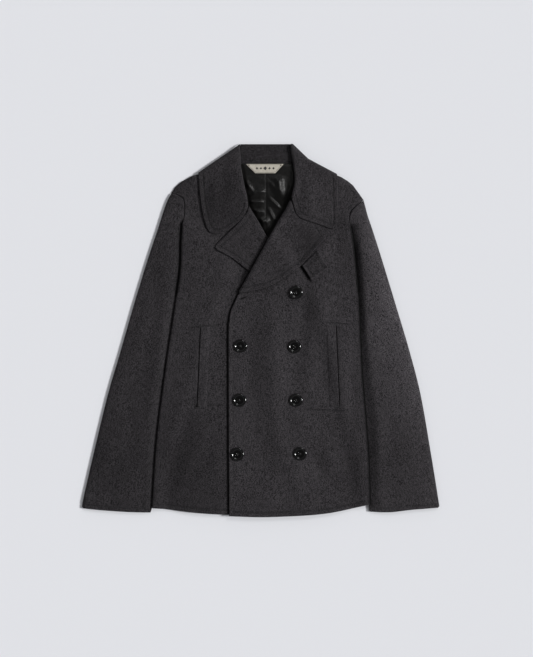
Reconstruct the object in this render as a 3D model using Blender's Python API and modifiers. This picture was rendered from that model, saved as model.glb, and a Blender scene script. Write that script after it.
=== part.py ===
"""Double-breasted pea coat, laid flat on its back.

Metres, +Z up, +Y towards the collar, +X towards the wearer's left. The cloth is a thin wall everywhere.
Every panel is cut from a flat outline, then given its height by a function that says what it lies on.
"""

import math
from collections import namedtuple
from functools import lru_cache, partial

import bmesh
import bpy
from mathutils import Vector

# Driving sizes
CLOTH = 0.0024  # wool melton
SATIN = 0.0010  # lining and label
WELT_CLOTH = 0.0014
SEAM_GAP = 0.0004  # air between layers that lie on each other, and across seams
BODY_LOFT = 0.0022  # air left between the back and the fronts in the middle of the coat
SLEEVE_LOFT = 0.0030  # air left in a sleeve beyond the coat's side
SLEEVE_TUCK = 0.090  # how far the sleeve goes under the coat's side at the underarm
UNDERARM_Y = 0.150
TUCK_POWER = 1.2  # how the tuck fades towards the cuff
BACK_HEM_RISE = 0.006  # the back's hem stops this far above the fronts'
CELL = 0.026  # the height of every panel is linear over triangles of this lattice
SETTLE = 0.045  # distance over which a panel comes down beside what it lies on
BUTTON_RADIUS = 0.014
BUTTON_HEIGHT = 0.0046
BUTTON_SIDES = 20
FOLD_WIDTH = 0.008  # a collar leaf turns down to the fall over this width
CUFF_Y = -0.3755

Point = namedtuple("Point", "x y")
# Edges common to more than one panel, from the shoulder tip down to the hem.
# Armhole first, then the side edge that lies over the sleeve.
SIDE_EDGE = {
    "right": [
        Point(-0.1842, 0.2833),
        Point(-0.1656, 0.2765),
        Point(-0.1574, 0.2660),
        Point(-0.1570, 0.2379),
        Point(-0.1609, 0.2173),
        Point(-0.1634, 0.1800),
        Point(-0.1650, 0.1267),
        Point(-0.1739, 0.0628),
        Point(-0.1903, -0.0443),
        Point(-0.2037, -0.1411),
        Point(-0.2151, -0.2421),
        Point(-0.2229, -0.3657),
    ],
    "left": [
        Point(0.2132, 0.2688),
        Point(0.1949, 0.2544),
        Point(0.1856, 0.2421),
        Point(0.1825, 0.2276),
        Point(0.1862, 0.2132),
        Point(0.1908, 0.1864),
        Point(0.1969, 0.1267),
        Point(0.2021, 0.0628),
        Point(0.2085, -0.0814),
        Point(0.2155, -0.1720),
        Point(0.2223, -0.2647),
        Point(0.2254, -0.3584),
    ],
}
ARMHOLE_POINTS = 5  # of SIDE_EDGE's points, those that the sleeve is sewn to
SLEEVE_OUTER = {
    "right": [
        Point(-0.1842, 0.2833),
        Point(-0.1961, 0.2585),
        Point(-0.2124, 0.2070),
        Point(-0.2330, 0.1452),
        Point(-0.2612, 0.0525),
        Point(-0.2878, -0.0402),
        Point(-0.3148, -0.1329),
        Point(-0.3447, -0.2565),
        Point(-0.3659, -0.3492),
        Point(-0.3674, -0.3642),
    ],
    "left": [
        Point(0.2132, 0.2688),
        Point(0.2212, 0.2379),
        Point(0.2316, 0.2070),
        Point(0.2513, 0.1452),
        Point(0.2795, 0.0525),
        Point(0.3071, -0.0402),
        Point(0.3308, -0.1329),
        Point(0.3524, -0.2565),
        Point(0.3674, -0.3492),
        Point(0.3692, -0.3628),
    ],
}
CUFF = {
    "right": [Point(-0.3185, -0.3710), Point(-0.2672, -0.3743), Point(-0.2264, -0.3753)],
    "left": [Point(0.3123, -0.3696), Point(0.2670, -0.3745), Point(0.2252, -0.3735)],
}
SHOULDER = {
    "right": [
        Point(-0.0500, 0.3520),
        Point(-0.1190, 0.3180),
        Point(-0.1290, 0.3182),
        Point(-0.1370, 0.3183),
        Point(-0.1491, 0.3146),
        Point(-0.1656, 0.3057),
        Point(-0.1765, 0.2955),
    ],
    "left": [
        Point(0.0740, 0.3480),
        Point(0.1480, 0.3150),
        Point(0.1585, 0.3152),
        Point(0.1650, 0.3168),
        Point(0.1805, 0.3082),
        Point(0.1911, 0.2995),
        Point(0.2035, 0.2825),
    ],
}
HEM = {
    "right": [
        Point(-0.1912, -0.3687),
        Point(-0.1471, -0.3743),
        Point(-0.0667, -0.3794),
        Point(0.0939, -0.3780),
    ],
    "left": [
        Point(0.1619, -0.3727),
        Point(0.1084, -0.3799),
        Point(0.0107, -0.3842),
        Point(-0.0643, -0.3821),
    ],
}
ROLL = {
    "right": [
        Point(-0.0240, 0.2600),
        Point(-0.0035, 0.2235),
        Point(0.0136, 0.1932),
        Point(0.0939, 0.0690),
    ],
    "left": [
        Point(0.0610, 0.2688),
        Point(0.0511, 0.2482),
        Point(0.0381, 0.2276),
        Point(-0.0303, 0.1040),
        Point(-0.0435, 0.0820),
    ],
}
FRONT_EDGE_LEFT = [
    Point(-0.0505, 0.0628),
    Point(-0.0599, 0.0422),
    Point(-0.0640, 0.0200),
    Point(-0.0655, -0.0100),
    Point(-0.0653, -0.1900),
]


# Outlines
def curve(points, step=0.03):
    """Points about `step` apart on a smooth curve through `points`."""
    sampled = []
    last = len(points) - 1
    for i in range(last):
        before, start = points[max(i - 1, 0)], points[i]
        end, after = points[i + 1], points[min(i + 2, last)]
        pieces = max(1, round(math.dist(start, end) / step))
        for k in range(pieces):
            t = k / pieces
            weights = (
                (-t + 2 * t**2 - t**3) / 2,
                (2 - 5 * t**2 + 3 * t**3) / 2,
                (t + 4 * t**2 - 3 * t**3) / 2,
                (t**3 - t**2) / 2,
            )
            knots = (before, start, end, after)
            sampled.append(
                Point(
                    sum(w * p[0] for w, p in zip(weights, knots, strict=True)),
                    sum(w * p[1] for w, p in zip(weights, knots, strict=True)),
                )
            )
    return sampled + [Point(*points[last])]


def shifted(points, dx, dy):
    return [Point(p[0] + dx, p[1] + dy) for p in points]


def body_half(side):
    """Outer edge of a front or of one half of the back: shoulder, armhole, side."""
    return SHOULDER[side] + curve(SIDE_EDGE[side])


def back_outline():
    """From the neck seam round the right side and the hem to the left side."""
    right_hem = shifted(curve(HEM["right"][:3]), 0, BACK_HEM_RISE)
    left_hem = shifted(curve(HEM["left"][:3]), 0, BACK_HEM_RISE)
    right, left = body_half("right"), body_half("left")
    right[-1] = Point(right[-1].x, right[-1].y + BACK_HEM_RISE)
    left[-1] = Point(left[-1].x, left[-1].y + BACK_HEM_RISE)
    neck = [Point(0.0740, 0.3445), Point(-0.0500, 0.3445)]
    return right + right_hem + left_hem[::-1] + left[::-1] + neck


def front_right_outline():
    """The under front: shoulder, side, hem, then up its hidden edge to the roll line."""
    neck = [Point(-0.0440, 0.3420), Point(-0.0340, 0.2894), Point(-0.0265, 0.2680)]
    return body_half("right") + curve(HEM["right"]) + ROLL["right"][::-1] + neck[::-1]


def front_left_outline():
    """The over front: the same, ending in the rounded turn from its edge into the roll line."""
    edge = curve(FRONT_EDGE_LEFT[::-1] + ROLL["left"][-1:], 0.05)
    neck = [Point(0.0700, 0.2894), Point(0.0735, 0.3100), Point(0.0690, 0.3420)]
    return body_half("left") + curve(HEM["left"]) + edge + ROLL["left"][-2::-1] + neck


def tucked_edge(side):
    """The sleeve's inner edge under the coat, from the underarm down to the cuff."""
    inward = 1 if side == "right" else -1
    edge = []
    for p in SIDE_EDGE[side][ARMHOLE_POINTS + 1 : -1]:
        share = max(0.0, (p.y - CUFF_Y) / (UNDERARM_Y - CUFF_Y)) ** TUCK_POWER
        edge.append(Point(p.x + inward * SLEEVE_TUCK * share, p.y))
    return edge


def sleeve_outline(side):
    """Outer fold, cuff, then the inner edge hidden under the coat, and the armhole seam."""
    away = -1 if side == "right" else 1
    armhole = curve(SIDE_EDGE[side][:ARMHOLE_POINTS], 0.02)
    seam = shifted(armhole, away * 1.1 * SEAM_GAP, -0.9 * SEAM_GAP)
    outer = curve(SLEEVE_OUTER[side], 0.04)
    return outer + CUFF[side] + tucked_edge(side)[::-1] + seam[:0:-1]


def tucked_outline(side):
    """The stretch of a sleeve that lies under the coat."""
    return tucked_edge(side) + [CUFF[side][-1]] + SIDE_EDGE[side][: ARMHOLE_POINTS - 2 : -1]


def leaf_outline(side):
    """One end of the collar: fold line, outer edge, rounded corner, gorge seam."""
    if side == "right":
        corner = curve(
            [
                Point(-0.1280, 0.3262),
                Point(-0.1246, 0.2791),
                Point(-0.1182, 0.2379),
                Point(-0.1079, 0.2070),
                Point(-0.0935, 0.1988),
                Point(-0.0729, 0.2029),
                Point(-0.0420, 0.2256),
                Point(-0.0286, 0.2451),
                Point(-0.0252, 0.2575),
            ],
            0.02,
        )
        neck = [Point(-0.0278, 0.2780), Point(-0.0334, 0.3010), Point(-0.0405, 0.3400)]
        return [Point(-0.0420, 0.3850)] + corner + neck
    corner = curve(
        [
            Point(0.1580, 0.3232),
            Point(0.1599, 0.2482),
            Point(0.1592, 0.2235),
            Point(0.1516, 0.2091),
            Point(0.1228, 0.2173),
            Point(0.0816, 0.2318),
            Point(0.0720, 0.2450),
            Point(0.0668, 0.2620),
            Point(0.0640, 0.2742),
        ],
        0.02,
    )
    turn = [Point(0.0672, 0.3850), Point(0.0990, 0.3545)]
    neck = [Point(0.0670, 0.2894), Point(0.0707, 0.3100), Point(0.0676, 0.3420), Point(0.0626, 0.3718)]
    return turn + corner + neck


def lapel_outline(side):
    """Roll line, then the outer edge back up to the notch and the gorge seam."""
    if side == "right":
        tip = [Point(-0.0894, 0.1658), Point(-0.0924, 0.1705), Point(-0.0905, 0.1770)]
        point = curve(tip, 0.004)
        notch = [Point(-0.0416, 0.2242), Point(-0.0276, 0.2434), Point(-0.0238, 0.2565)]
        roll = [Point(-0.0035, 0.2235), Point(0.0136, 0.1932), Point(0.0880, 0.0780)]
        edge = [Point(-0.0235, 0.1226), Point(-0.0585, 0.1494)]
        return roll + edge + point + notch
    edge = curve(
        [
            Point(-0.0435, 0.0780),
            Point(-0.0091, 0.0834),
            Point(0.0321, 0.0979),
            Point(0.0857, 0.1349),
        ]
    )
    point = [Point(0.1166, 0.1720), Point(0.1345, 0.1920), Point(0.1330, 0.1970)]
    gorge = [Point(0.1225, 0.2158), Point(0.0806, 0.2302), Point(0.0704, 0.2440), Point(0.0648, 0.2620)]
    return edge + point + gorge + ROLL["left"][:3]


# Where each leaf turns over the shoulder to become the fall behind the neck.
# The leaf is on the left of the line from the first point to the second.
COLLAR_TURN = {
    "right": [Point(-0.0420, 0.3850), Point(-0.1280, 0.3262)],
    "left": [Point(0.1580, 0.3232), Point(0.0990, 0.3545), Point(0.0672, 0.3850)],
}
FALL_OUTLINE = [
    Point(-0.0420, 0.3850),
    Point(-0.1280, 0.3262),
    Point(-0.1230, 0.3020),
    Point(-0.0600, 0.2890),
    Point(0.0116, 0.2860),
    Point(0.0900, 0.2890),
    Point(0.1540, 0.3020),
    Point(0.1580, 0.3232),
    Point(0.0990, 0.3545),
    Point(0.0672, 0.3850),
]
STAND_OUTLINE = [
    Point(-0.0410, 0.3844),
    Point(-0.0410, 0.3700),
    Point(-0.0500, 0.3600),
    Point(-0.0500, 0.3449),
    Point(0.0740, 0.3449),
    Point(0.0740, 0.3600),
    Point(0.0645, 0.3700),
    Point(0.0655, 0.3844),
]
LINING_OUTLINE = [
    Point(-0.0500, 0.3440),
    Point(-0.0520, 0.2600),
    Point(0.0000, 0.1500),
    Point(0.0300, 0.1500),
    Point(0.0860, 0.2400),
    Point(0.0740, 0.3440),
]
LABEL_OUTLINE = [
    Point(-0.0299, 0.3430),
    Point(-0.0105, 0.3238),
    Point(0.0307, 0.3238),
    Point(0.0480, 0.3430),
]
TAB_OUTLINE = [
    Point(0.0862, 0.1332),
    Point(0.1053, 0.1040),
    Point(0.1393, 0.1288),
    Point(0.1180, 0.1640),
]
Welt = namedtuple("Welt", "opening_top opening_bottom width")
WELTS = {
    "right": Welt(Point(-0.1224, 0.0072), Point(-0.1296, -0.1586), 0.019),
    "left": Welt(Point(0.1545, 0.0113), Point(0.1619, -0.1576), -0.019),
}
Button = namedtuple("Button", "name x y")
BUTTONS = [
    Button("button_inner_1", 0.0733, 0.0783),
    Button("button_inner_2", 0.0702, -0.0330),
    Button("button_inner_3", 0.0733, -0.1432),
    Button("button_inner_4", 0.0816, -0.2534),
    Button("button_outer_1", -0.0410, -0.0319),
    Button("button_outer_2", -0.0431, -0.1432),
    Button("button_outer_3", -0.0472, -0.2544),
]


def welt_outline(side):
    top, bottom, width = WELTS[side]
    return [top, bottom, Point(bottom.x + width, bottom.y), Point(top.x + width, top.y)]


# Heights
def distance_outside(x, y, outline):
    """Distance from a point to an outline, 0 inside it."""
    inside, nearest = False, math.inf
    for (ax, ay), (bx, by) in zip(outline, outline[1:] + outline[:1], strict=True):
        if (ay > y) != (by > y) and x < ax + (y - ay) * (bx - ax) / (by - ay):
            inside = not inside
        dx, dy = bx - ax, by - ay
        t = min(1.0, max(0.0, ((x - ax) * dx + (y - ay) * dy) / max(dx * dx + dy * dy, 1e-12)))
        nearest = min(nearest, math.hypot(x - ax - t * dx, y - ay - t * dy))
    return 0.0 if inside else nearest


def on_lattice(height):
    """The height made linear over each triangle of the lattice, so that layers nest exactly."""
    node = lru_cache(None)(lambda i, j: height(i * CELL, j * CELL))

    def at(x, y):
        i, j = math.floor(x / CELL), math.floor(y / CELL)
        u, v = x / CELL - i, y / CELL - j
        low, high = node(i, j), node(i + 1, j + 1)
        if u >= v:
            side = node(i + 1, j)
            return low + u * (side - low) + v * (high - side)
        side = node(i, j + 1)
        return low + v * (side - low) + u * (high - side)

    return at


CLEAR = CELL * math.sqrt(2) * 1.01  # a lattice triangle that meets an outline has its corners within this


def smooth(t):
    t = min(1.0, max(0.0, t))
    return t * t * (3 - 2 * t)


def distance_along(x, y, points):
    """Distance from a point to an open line of points."""
    return distance_outside(x, y, list(points) + list(points[-2:0:-1]))


def over(outline, x, y):
    """1 on and just around an outline, coming down to 0 beside it."""
    return 1 - smooth((distance_outside(x, y, outline) - CLEAR) / SETTLE)


BODY = back_outline()
BODY_WITH_FRONTS = body_half("right") + HEM["right"][:3] + HEM["left"][2::-1] + body_half("left")[::-1]
SLEEVES = {side: sleeve_outline(side) for side in ("right", "left")}
TUCKED = [tucked_outline(side) for side in SLEEVES]
FRONT_RIGHT = front_right_outline()
LAPEL_RIGHT = lapel_outline("right")


@on_lattice
def sleeve_top_height(x, y):
    """Pressed thin under the coat's side, filling out beyond it, and closed along its outer fold."""
    beyond = distance_outside(x, y, BODY_WITH_FRONTS)
    within = min(distance_along(x, y, SLEEVE_OUTER[side]) for side in SLEEVES)
    outside = min(distance_outside(x, y, outline) for outline in SLEEVES.values())
    filled = 0.0 if outside > 0 else smooth((within - CELL / 2) / SETTLE)
    return CLOTH + SEAM_GAP + SLEEVE_LOFT * smooth((beyond - CLEAR) / SETTLE) * filled


@on_lattice
def back_height(x, y):
    """On the surface in the middle, on both sleeves at the sides, and on the collar's fall at the neck."""
    tucked = max(over(outline, x, y) for outline in TUCKED)
    fall = over(FALL_OUTLINE, x, y)
    return max(tucked * 2 * (CLOTH + SEAM_GAP), fall * (CLOTH + SEAM_GAP))


def lining_height(x, y):
    return back_height(x, y) + CLOTH + SEAM_GAP


def label_height(x, y):
    return lining_height(x, y) + SATIN + SEAM_GAP


@on_lattice
def body_air(x, y):
    """Air between the back and the fronts: none at the sides, more in the middle and over the lining."""
    within = min(distance_along(x, y, body_half(side)) for side in SLEEVES)
    return BODY_LOFT * smooth((within - CELL) / 0.08) + over(LINING_OUTLINE, x, y) * (SATIN + SEAM_GAP)


def front_right_height(x, y):
    return back_height(x, y) + CLOTH + SEAM_GAP + body_air(x, y)


@on_lattice
def crossing(x, y):
    """How far the over front is lifted by the under front and its lapel."""
    return (over(FRONT_RIGHT, x, y) + over(LAPEL_RIGHT, x, y)) * (CLOTH + SEAM_GAP)


def front_left_height(x, y):
    return front_right_height(x, y) + crossing(x, y)


def one_above(height, x, y):
    """The height of a piece that lies on the panel whose underside is at `height`."""
    return height(x, y) + CLOTH + SEAM_GAP


def on_surface(x, y):
    return 0.0


# Making panels
def finish(name, bm, material):
    """Turns the worked mesh into the named piece of the coat."""
    mesh = bpy.data.meshes.new(name)
    bm.to_mesh(mesh)
    bm.free()
    mesh.materials.append(material)
    made = bpy.data.objects.new(name, mesh)
    coat.objects.link(made)
    made.parent = laid_out
    return made


def cut_along_lattice(bm, outline):
    """Splits the flat panel wherever a line of the lattice crosses it."""
    for across in (Vector((1, 0, 0)), Vector((0, 1, 0)), Vector((1, -1, 0))):
        places = [across.dot(Vector((p[0], p[1], 0))) / CELL for p in outline]
        for k in range(math.ceil(min(places)), math.floor(max(places)) + 1):
            bmesh.ops.bisect_plane(
                bm,
                geom=bm.verts[:] + bm.edges[:] + bm.faces[:],
                dist=1e-6,
                plane_co=across * (k * CELL / across.length_squared),
                plane_no=across,
            )


def cut_beside_fold(bm, fold):
    """Adds the lines along which a panel bends down towards its folded edge."""
    corners = [Vector((*p, 0)) for p in fold]
    for start, end in zip(corners[:-1], corners[1:], strict=True):
        inward = Vector((0, 0, 1)).cross(end - start).normalized()
        for share in (0.35, 1.0):
            place = start + inward * FOLD_WIDTH * share
            geometry = bm.verts[:] + bm.edges[:] + bm.faces[:]
            bmesh.ops.bisect_plane(bm, geom=geometry, dist=1e-6, plane_co=place, plane_no=inward)


def fold_drop(x, y, fold):
    """How far the cloth has turned down, as a share: 1 at the folded edge, 0 at FOLD_WIDTH from it."""
    short = max(0.0, 1 - distance_along(x, y, fold) / FOLD_WIDTH)
    return 1 - math.sqrt(1 - short**2)


def panel(name, outline, height, thickness, material, fold=None, depth=0.0):
    """A wall of cloth cut to an outline, with its underside at the given height."""
    bm = bmesh.new()
    corners = [bm.verts.new((p[0], p[1], 0)) for p in outline]
    bm.faces.new(corners)
    cut_along_lattice(bm, outline)
    if fold:
        cut_beside_fold(bm, fold)
    for vertex in bm.verts:
        vertex.co.z = height(vertex.co.x, vertex.co.y)
        if fold:
            vertex.co.z -= depth * fold_drop(vertex.co.x, vertex.co.y, fold)
    grown = bmesh.ops.extrude_face_region(bm, geom=bm.faces[:])
    for item in grown["geom"]:
        if isinstance(item, bmesh.types.BMVert):
            item.co.z += thickness
    bmesh.ops.recalc_face_normals(bm, faces=bm.faces[:])
    return finish(name, bm, material)


# Half of a button's section from its back to its front, as shares of its radius and height
Turn = namedtuple("Turn", "radius height")
BUTTON_PROFILE = [
    Turn(0.0, 0.0),
    Turn(0.80, 0.0),
    Turn(1.0, 0.35),
    Turn(0.96, 0.88),
    Turn(0.86, 1.0),
    Turn(0.68, 0.72),
    Turn(0.0, 0.62),
]


def button(name, x, y, material):
    """A turned disc with a raised rim and a dished middle, sitting on the highest cloth under it."""
    bm = bmesh.new()
    section = [(t.radius * BUTTON_RADIUS, 0, t.height * BUTTON_HEIGHT) for t in reversed(BUTTON_PROFILE)]
    corners = [bm.verts.new(place) for place in section]
    for a, b in zip(corners, corners[1:]):
        bm.edges.new((a, b))
    made = finish(name, bm, material)
    turn = made.modifiers.new("Turn", "SCREW")
    turn.steps = turn.render_steps = BUTTON_SIDES
    turn.use_merge_vertices = True
    turn.merge_threshold = 0.0001
    turn.use_normal_calculate = True
    under = [front_left_height(x, y)]
    for reach in (0.5 * BUTTON_RADIUS, 1.02 * BUTTON_RADIUS):
        for k in range(12):
            angle = 2 * math.pi * k / 12
            under.append(front_left_height(x + reach * math.cos(angle), y + reach * math.sin(angle)))
    made.location = (x, y, max(under) + CLOTH + SEAM_GAP)
    return made


def material(name, colour, roughness):
    made = bpy.data.materials.new(name)
    made.use_nodes = True
    shader = made.node_tree.nodes["Principled BSDF"]
    shader.inputs["Base Color"].default_value = (*colour, 1)
    shader.inputs["Roughness"].default_value = roughness
    shader.inputs["Metallic"].default_value = 0
    return made


for old in list(bpy.data.objects):
    bpy.data.objects.remove(old, do_unlink=True)
coat = bpy.data.collections.new("pea_coat")
bpy.context.scene.collection.children.link(coat)
laid_out = bpy.data.objects.new("laid_out", None)
coat.objects.link(laid_out)

wool = material("charcoal_wool", (0.030, 0.028, 0.031), 0.95)
satin = material("black_satin", (0.012, 0.012, 0.012), 0.35)
woven_label = material("cream_label", (0.55, 0.50, 0.42), 0.8)
horn = material("black_button", (0.008, 0.008, 0.008), 0.15)

for side, outline in SLEEVES.items():
    panel("sleeve_under_" + side, outline, on_surface, CLOTH, wool)
    panel("sleeve_top_" + side, outline, sleeve_top_height, CLOTH, wool)
panel("collar_fall_back", FALL_OUTLINE, on_surface, CLOTH, wool)
panel("back", BODY, back_height, CLOTH, wool)
panel("collar_stand", STAND_OUTLINE, back_height, CLOTH, wool)
panel("lining", LINING_OUTLINE, lining_height, SATIN, satin)
panel("label", LABEL_OUTLINE, label_height, SATIN, woven_label)
panel("front_right", FRONT_RIGHT, front_right_height, CLOTH, wool)
panel("front_left", front_left_outline(), front_left_height, CLOTH, wool)
for side, front_height in (("right", front_right_height), ("left", front_left_height)):
    lies_on = partial(one_above, front_height)
    panel("lapel_" + side, lapel_outline(side), lies_on, CLOTH, wool)
    turned = COLLAR_TURN[side]
    panel("collar_leaf_" + side, leaf_outline(side), lies_on, CLOTH, wool, turned, 2 * (CLOTH + SEAM_GAP))
    panel("pocket_welt_" + side, welt_outline(side), lies_on, WELT_CLOTH, wool)
panel("throat_tab", TAB_OUTLINE, partial(one_above, front_left_height), CLOTH, wool)
for one in BUTTONS:
    button(one.name, one.x, one.y, horn)
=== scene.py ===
"""Charcoal wool pea coat, laid flat on its back on a pale table. Metres, +Y towards the collar."""

import math

import bpy
import numpy as np
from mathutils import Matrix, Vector
from mathutils.geometry import delaunay_2d_cdt


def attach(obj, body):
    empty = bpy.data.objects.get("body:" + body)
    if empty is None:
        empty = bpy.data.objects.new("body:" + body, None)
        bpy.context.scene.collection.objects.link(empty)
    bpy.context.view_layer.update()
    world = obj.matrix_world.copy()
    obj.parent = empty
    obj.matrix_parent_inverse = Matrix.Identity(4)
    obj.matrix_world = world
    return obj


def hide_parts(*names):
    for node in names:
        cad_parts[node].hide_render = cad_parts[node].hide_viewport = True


# The laying-out table. A wide pale board that fills the view, lit by one big soft lamp on the
# wearer's left, a fainter one high beyond the collar and the pale room, and seen from above.
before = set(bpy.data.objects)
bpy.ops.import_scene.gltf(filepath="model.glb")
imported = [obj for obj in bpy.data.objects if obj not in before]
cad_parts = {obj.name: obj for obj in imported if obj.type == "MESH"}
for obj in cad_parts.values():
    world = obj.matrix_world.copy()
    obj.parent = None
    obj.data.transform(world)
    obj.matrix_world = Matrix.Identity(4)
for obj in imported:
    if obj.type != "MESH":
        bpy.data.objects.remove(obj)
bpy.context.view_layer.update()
scene = bpy.context.scene
scene.view_settings.view_transform = "Standard"
scene.view_settings.look = "None"

lens = bpy.data.cameras.new("over_the_table")
lens.lens = 85
lens.sensor_width = 36
lens.clip_end = 40
camera = bpy.data.objects.new("over_the_table", lens)
camera.location = (0.0126, 0.0041, 3.203)
scene.collection.objects.link(camera)
scene.camera = camera

bpy.ops.mesh.primitive_plane_add(size=14, location=(0, 0, -0.0004))
table = bpy.context.object
table.name = "table_top"
table_paint = bpy.data.materials.new("table_paint")
table_paint.use_nodes = True
paint = table_paint.node_tree.nodes["Principled BSDF"]
paint.inputs["Base Color"].default_value = (0.735, 0.742, 0.772, 1)
paint.inputs["Roughness"].default_value = 0.9
paint.inputs["Specular IOR Level"].default_value = 0.15
table.data.materials.append(table_paint)

room = bpy.data.worlds.new("pale_room")
room.use_nodes = True
walls = room.node_tree.nodes["Background"]
walls.inputs["Color"].default_value = (0.97, 0.98, 1.0, 1)
facing = room.node_tree.nodes.new("ShaderNodeTexCoord")
height = room.node_tree.nodes.new("ShaderNodeSeparateXYZ")
ceiling = room.node_tree.nodes.new("ShaderNodeMapRange")
for name, value in (("From Min", 0.30), ("From Max", 0.86), ("To Min", 0.545), ("To Max", 0.095)):
    ceiling.inputs[name].default_value = value
room.node_tree.links.new(facing.outputs["Generated"], height.inputs[0])
room.node_tree.links.new(height.outputs["Z"], ceiling.inputs["Value"])
room.node_tree.links.new(ceiling.outputs["Result"], walls.inputs["Strength"])
scene.world = room


def lamp(name, comes_from, strength, width):
    """A far, even light of the given angular width in degrees."""
    light = bpy.data.lights.new(name, "SUN")
    light.energy = strength
    light.angle = math.radians(width)
    made = bpy.data.objects.new(name, light)
    made.rotation_euler = Vector(comes_from).to_track_quat("Z", "Y").to_euler()
    scene.collection.objects.link(made)


lamp("soft_box_left_of_wearer", (1.0, 0.04, 0.74), 3.42, 12)
lamp("soft_box_beyond_collar", (0.45, 0.85, 1.05), 0.50, 16)

# The undersides of the sleeves. Wool melton, a heavy cloth woven as a twill and then felted, lies
# on the table. The seam along the arm joins each to the sleeve's top, which turns down over it.
CLOTH = 0.0024
AIR = 0.0004  # between two layers that lie on each other


def curve(*points, step=0.004):
    """Points about `step` apart on a smooth line through the given ones."""
    points = np.array(points, float)
    run = []
    last = len(points) - 1
    for i in range(last):
        before, start = points[max(i - 1, 0)], points[i]
        end, after = points[i + 1], points[min(i + 2, last)]
        count = max(1, round(math.dist(start, end) / step))
        t = (np.arange(count) / count)[:, None]
        bend = (-t + 2 * t**2 - t**3) * before + (2 - 5 * t**2 + 3 * t**3) * start
        run.append((bend + (t + 4 * t**2 - 3 * t**3) * end + (t**3 - t**2) * after) / 2)
    return np.concatenate([*run, points[-1:]])


def straight(*points, step=0.004):
    """Points at most `step` apart along straight lines through the given ones."""
    run = []
    for start, end in zip(points, points[1:]):
        start, end = np.array(start, float), np.array(end, float)
        count = max(1, math.ceil(math.dist(start, end) / step))
        run.append(start + (end - start) * (np.arange(count) / count)[:, None])
    return np.concatenate([*run, np.array(points[-1:], float)])


def cut_line(*runs):
    """A closed outline through the runs, with its straight stretches divided."""
    corners = np.concatenate([np.array(run, float).reshape(-1, 2) for run in runs])
    apart = np.hypot(*(corners - np.roll(corners, 1, axis=0)).T) > 1e-5
    corners = corners[apart]
    return straight(*corners, corners[0])[:-1]


def closed(outline):
    return np.concatenate([outline, outline[:1]])


def nearest(xy, run, carried=None):
    """Distance of each point from a run, and the value carried along the run at that place."""
    start, reach = run[:-1], np.diff(run, axis=0)
    size = np.maximum((reach**2).sum(axis=1), 1e-14)
    gap, value = np.empty(len(xy)), np.zeros(len(xy))
    for first in range(0, len(xy), 2000):
        some = xy[first : first + 2000, None] - start
        share = np.clip((some * reach).sum(axis=2) / size, 0, 1)
        square = ((some - share[..., None] * reach) ** 2).sum(axis=2)
        best = square.argmin(axis=1)
        rows = np.arange(len(best))
        gap[first : first + 2000] = np.sqrt(square[rows, best])
        if carried is not None:
            part = share[rows, best]
            value[first : first + 2000] = carried[best] * (1 - part) + carried[best + 1] * part
    return gap, value


def away(xy, run):
    return nearest(xy, run)[0]


def within(xy, outline):
    """Which points lie inside an outline."""
    ax, ay = outline.T
    bx, by = np.roll(outline, -1, axis=0).T
    rise = np.where(by == ay, 1, by - ay)
    found = np.zeros(len(xy), bool)
    for first in range(0, len(xy), 4000):
        x, y = xy[first : first + 4000].T[..., None]
        crossed = ((ay > y) != (by > y)) & (x < ax + (y - ay) * (bx - ax) / rise)
        found[first : first + 4000] = crossed.sum(axis=1) % 2 == 1
    return found


def beside(xy, outline):
    """Distance outside an outline, 0 within it."""
    return np.where(within(xy, outline), 0, away(xy, closed(outline)))


def smooth(t):
    t = np.clip(t, 0, 1)
    return t * t * (3 - 2 * t)


def unevenness(xy, size, seed):
    """Soft waves between -1 and 1, about `size` across."""
    knots = np.random.default_rng(seed).uniform(-1, 1, (64, 64))
    cell = xy / size + 400
    corner = np.floor(cell).astype(int)
    u, v = smooth(cell - corner).T
    i, j = corner.T
    low = knots[i % 64, j % 64] * (1 - u) + knots[(i + 1) % 64, j % 64] * u
    high = knots[i % 64, (j + 1) % 64] * (1 - u) + knots[(i + 1) % 64, (j + 1) % 64] * u
    return low * (1 - v) + high * v


def inward(outline, distance):
    """Each point of a closed outline moved inwards, square to the outline."""
    heading = np.roll(outline, -1, axis=0) - np.roll(outline, 1, axis=0)
    x, y = outline.T
    turn = 1 if (x * np.roll(y, -1) - y * np.roll(x, -1)).sum() > 0 else -1
    normal = np.stack([-heading[:, 1], heading[:, 0]], axis=1) * turn
    return outline + normal / np.linalg.norm(normal, axis=1)[:, None] * distance


# How far in from a piece's edge its rings of points lie, and how far to the sides of a line in it
RINGS = (0.0004, 0.0010, 0.0018, 0.0030, 0.0045, 0.0062, 0.0078, 0.0090, 0.0102, 0.0130)
BESIDE_LINE = (-0.0045, -0.0022, -0.0009, 0, 0.0009, 0.0022, 0.0045)
ROUNDING = 0.55  # of its thickness, over which an edge is rounded


def piece_of(name, points, faces, material, slot, replaced):
    mesh = bpy.data.meshes.new(name)
    mesh.from_pydata(np.asarray(points).tolist(), [], np.asarray(faces).tolist())
    mesh.materials.append(material)
    mesh.shade_smooth()
    made = bpy.data.objects.new(name, mesh)
    scene.collection.objects.link(made)
    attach(made, "root")
    if replaced:
        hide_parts(*replaced)
    return made


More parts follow.
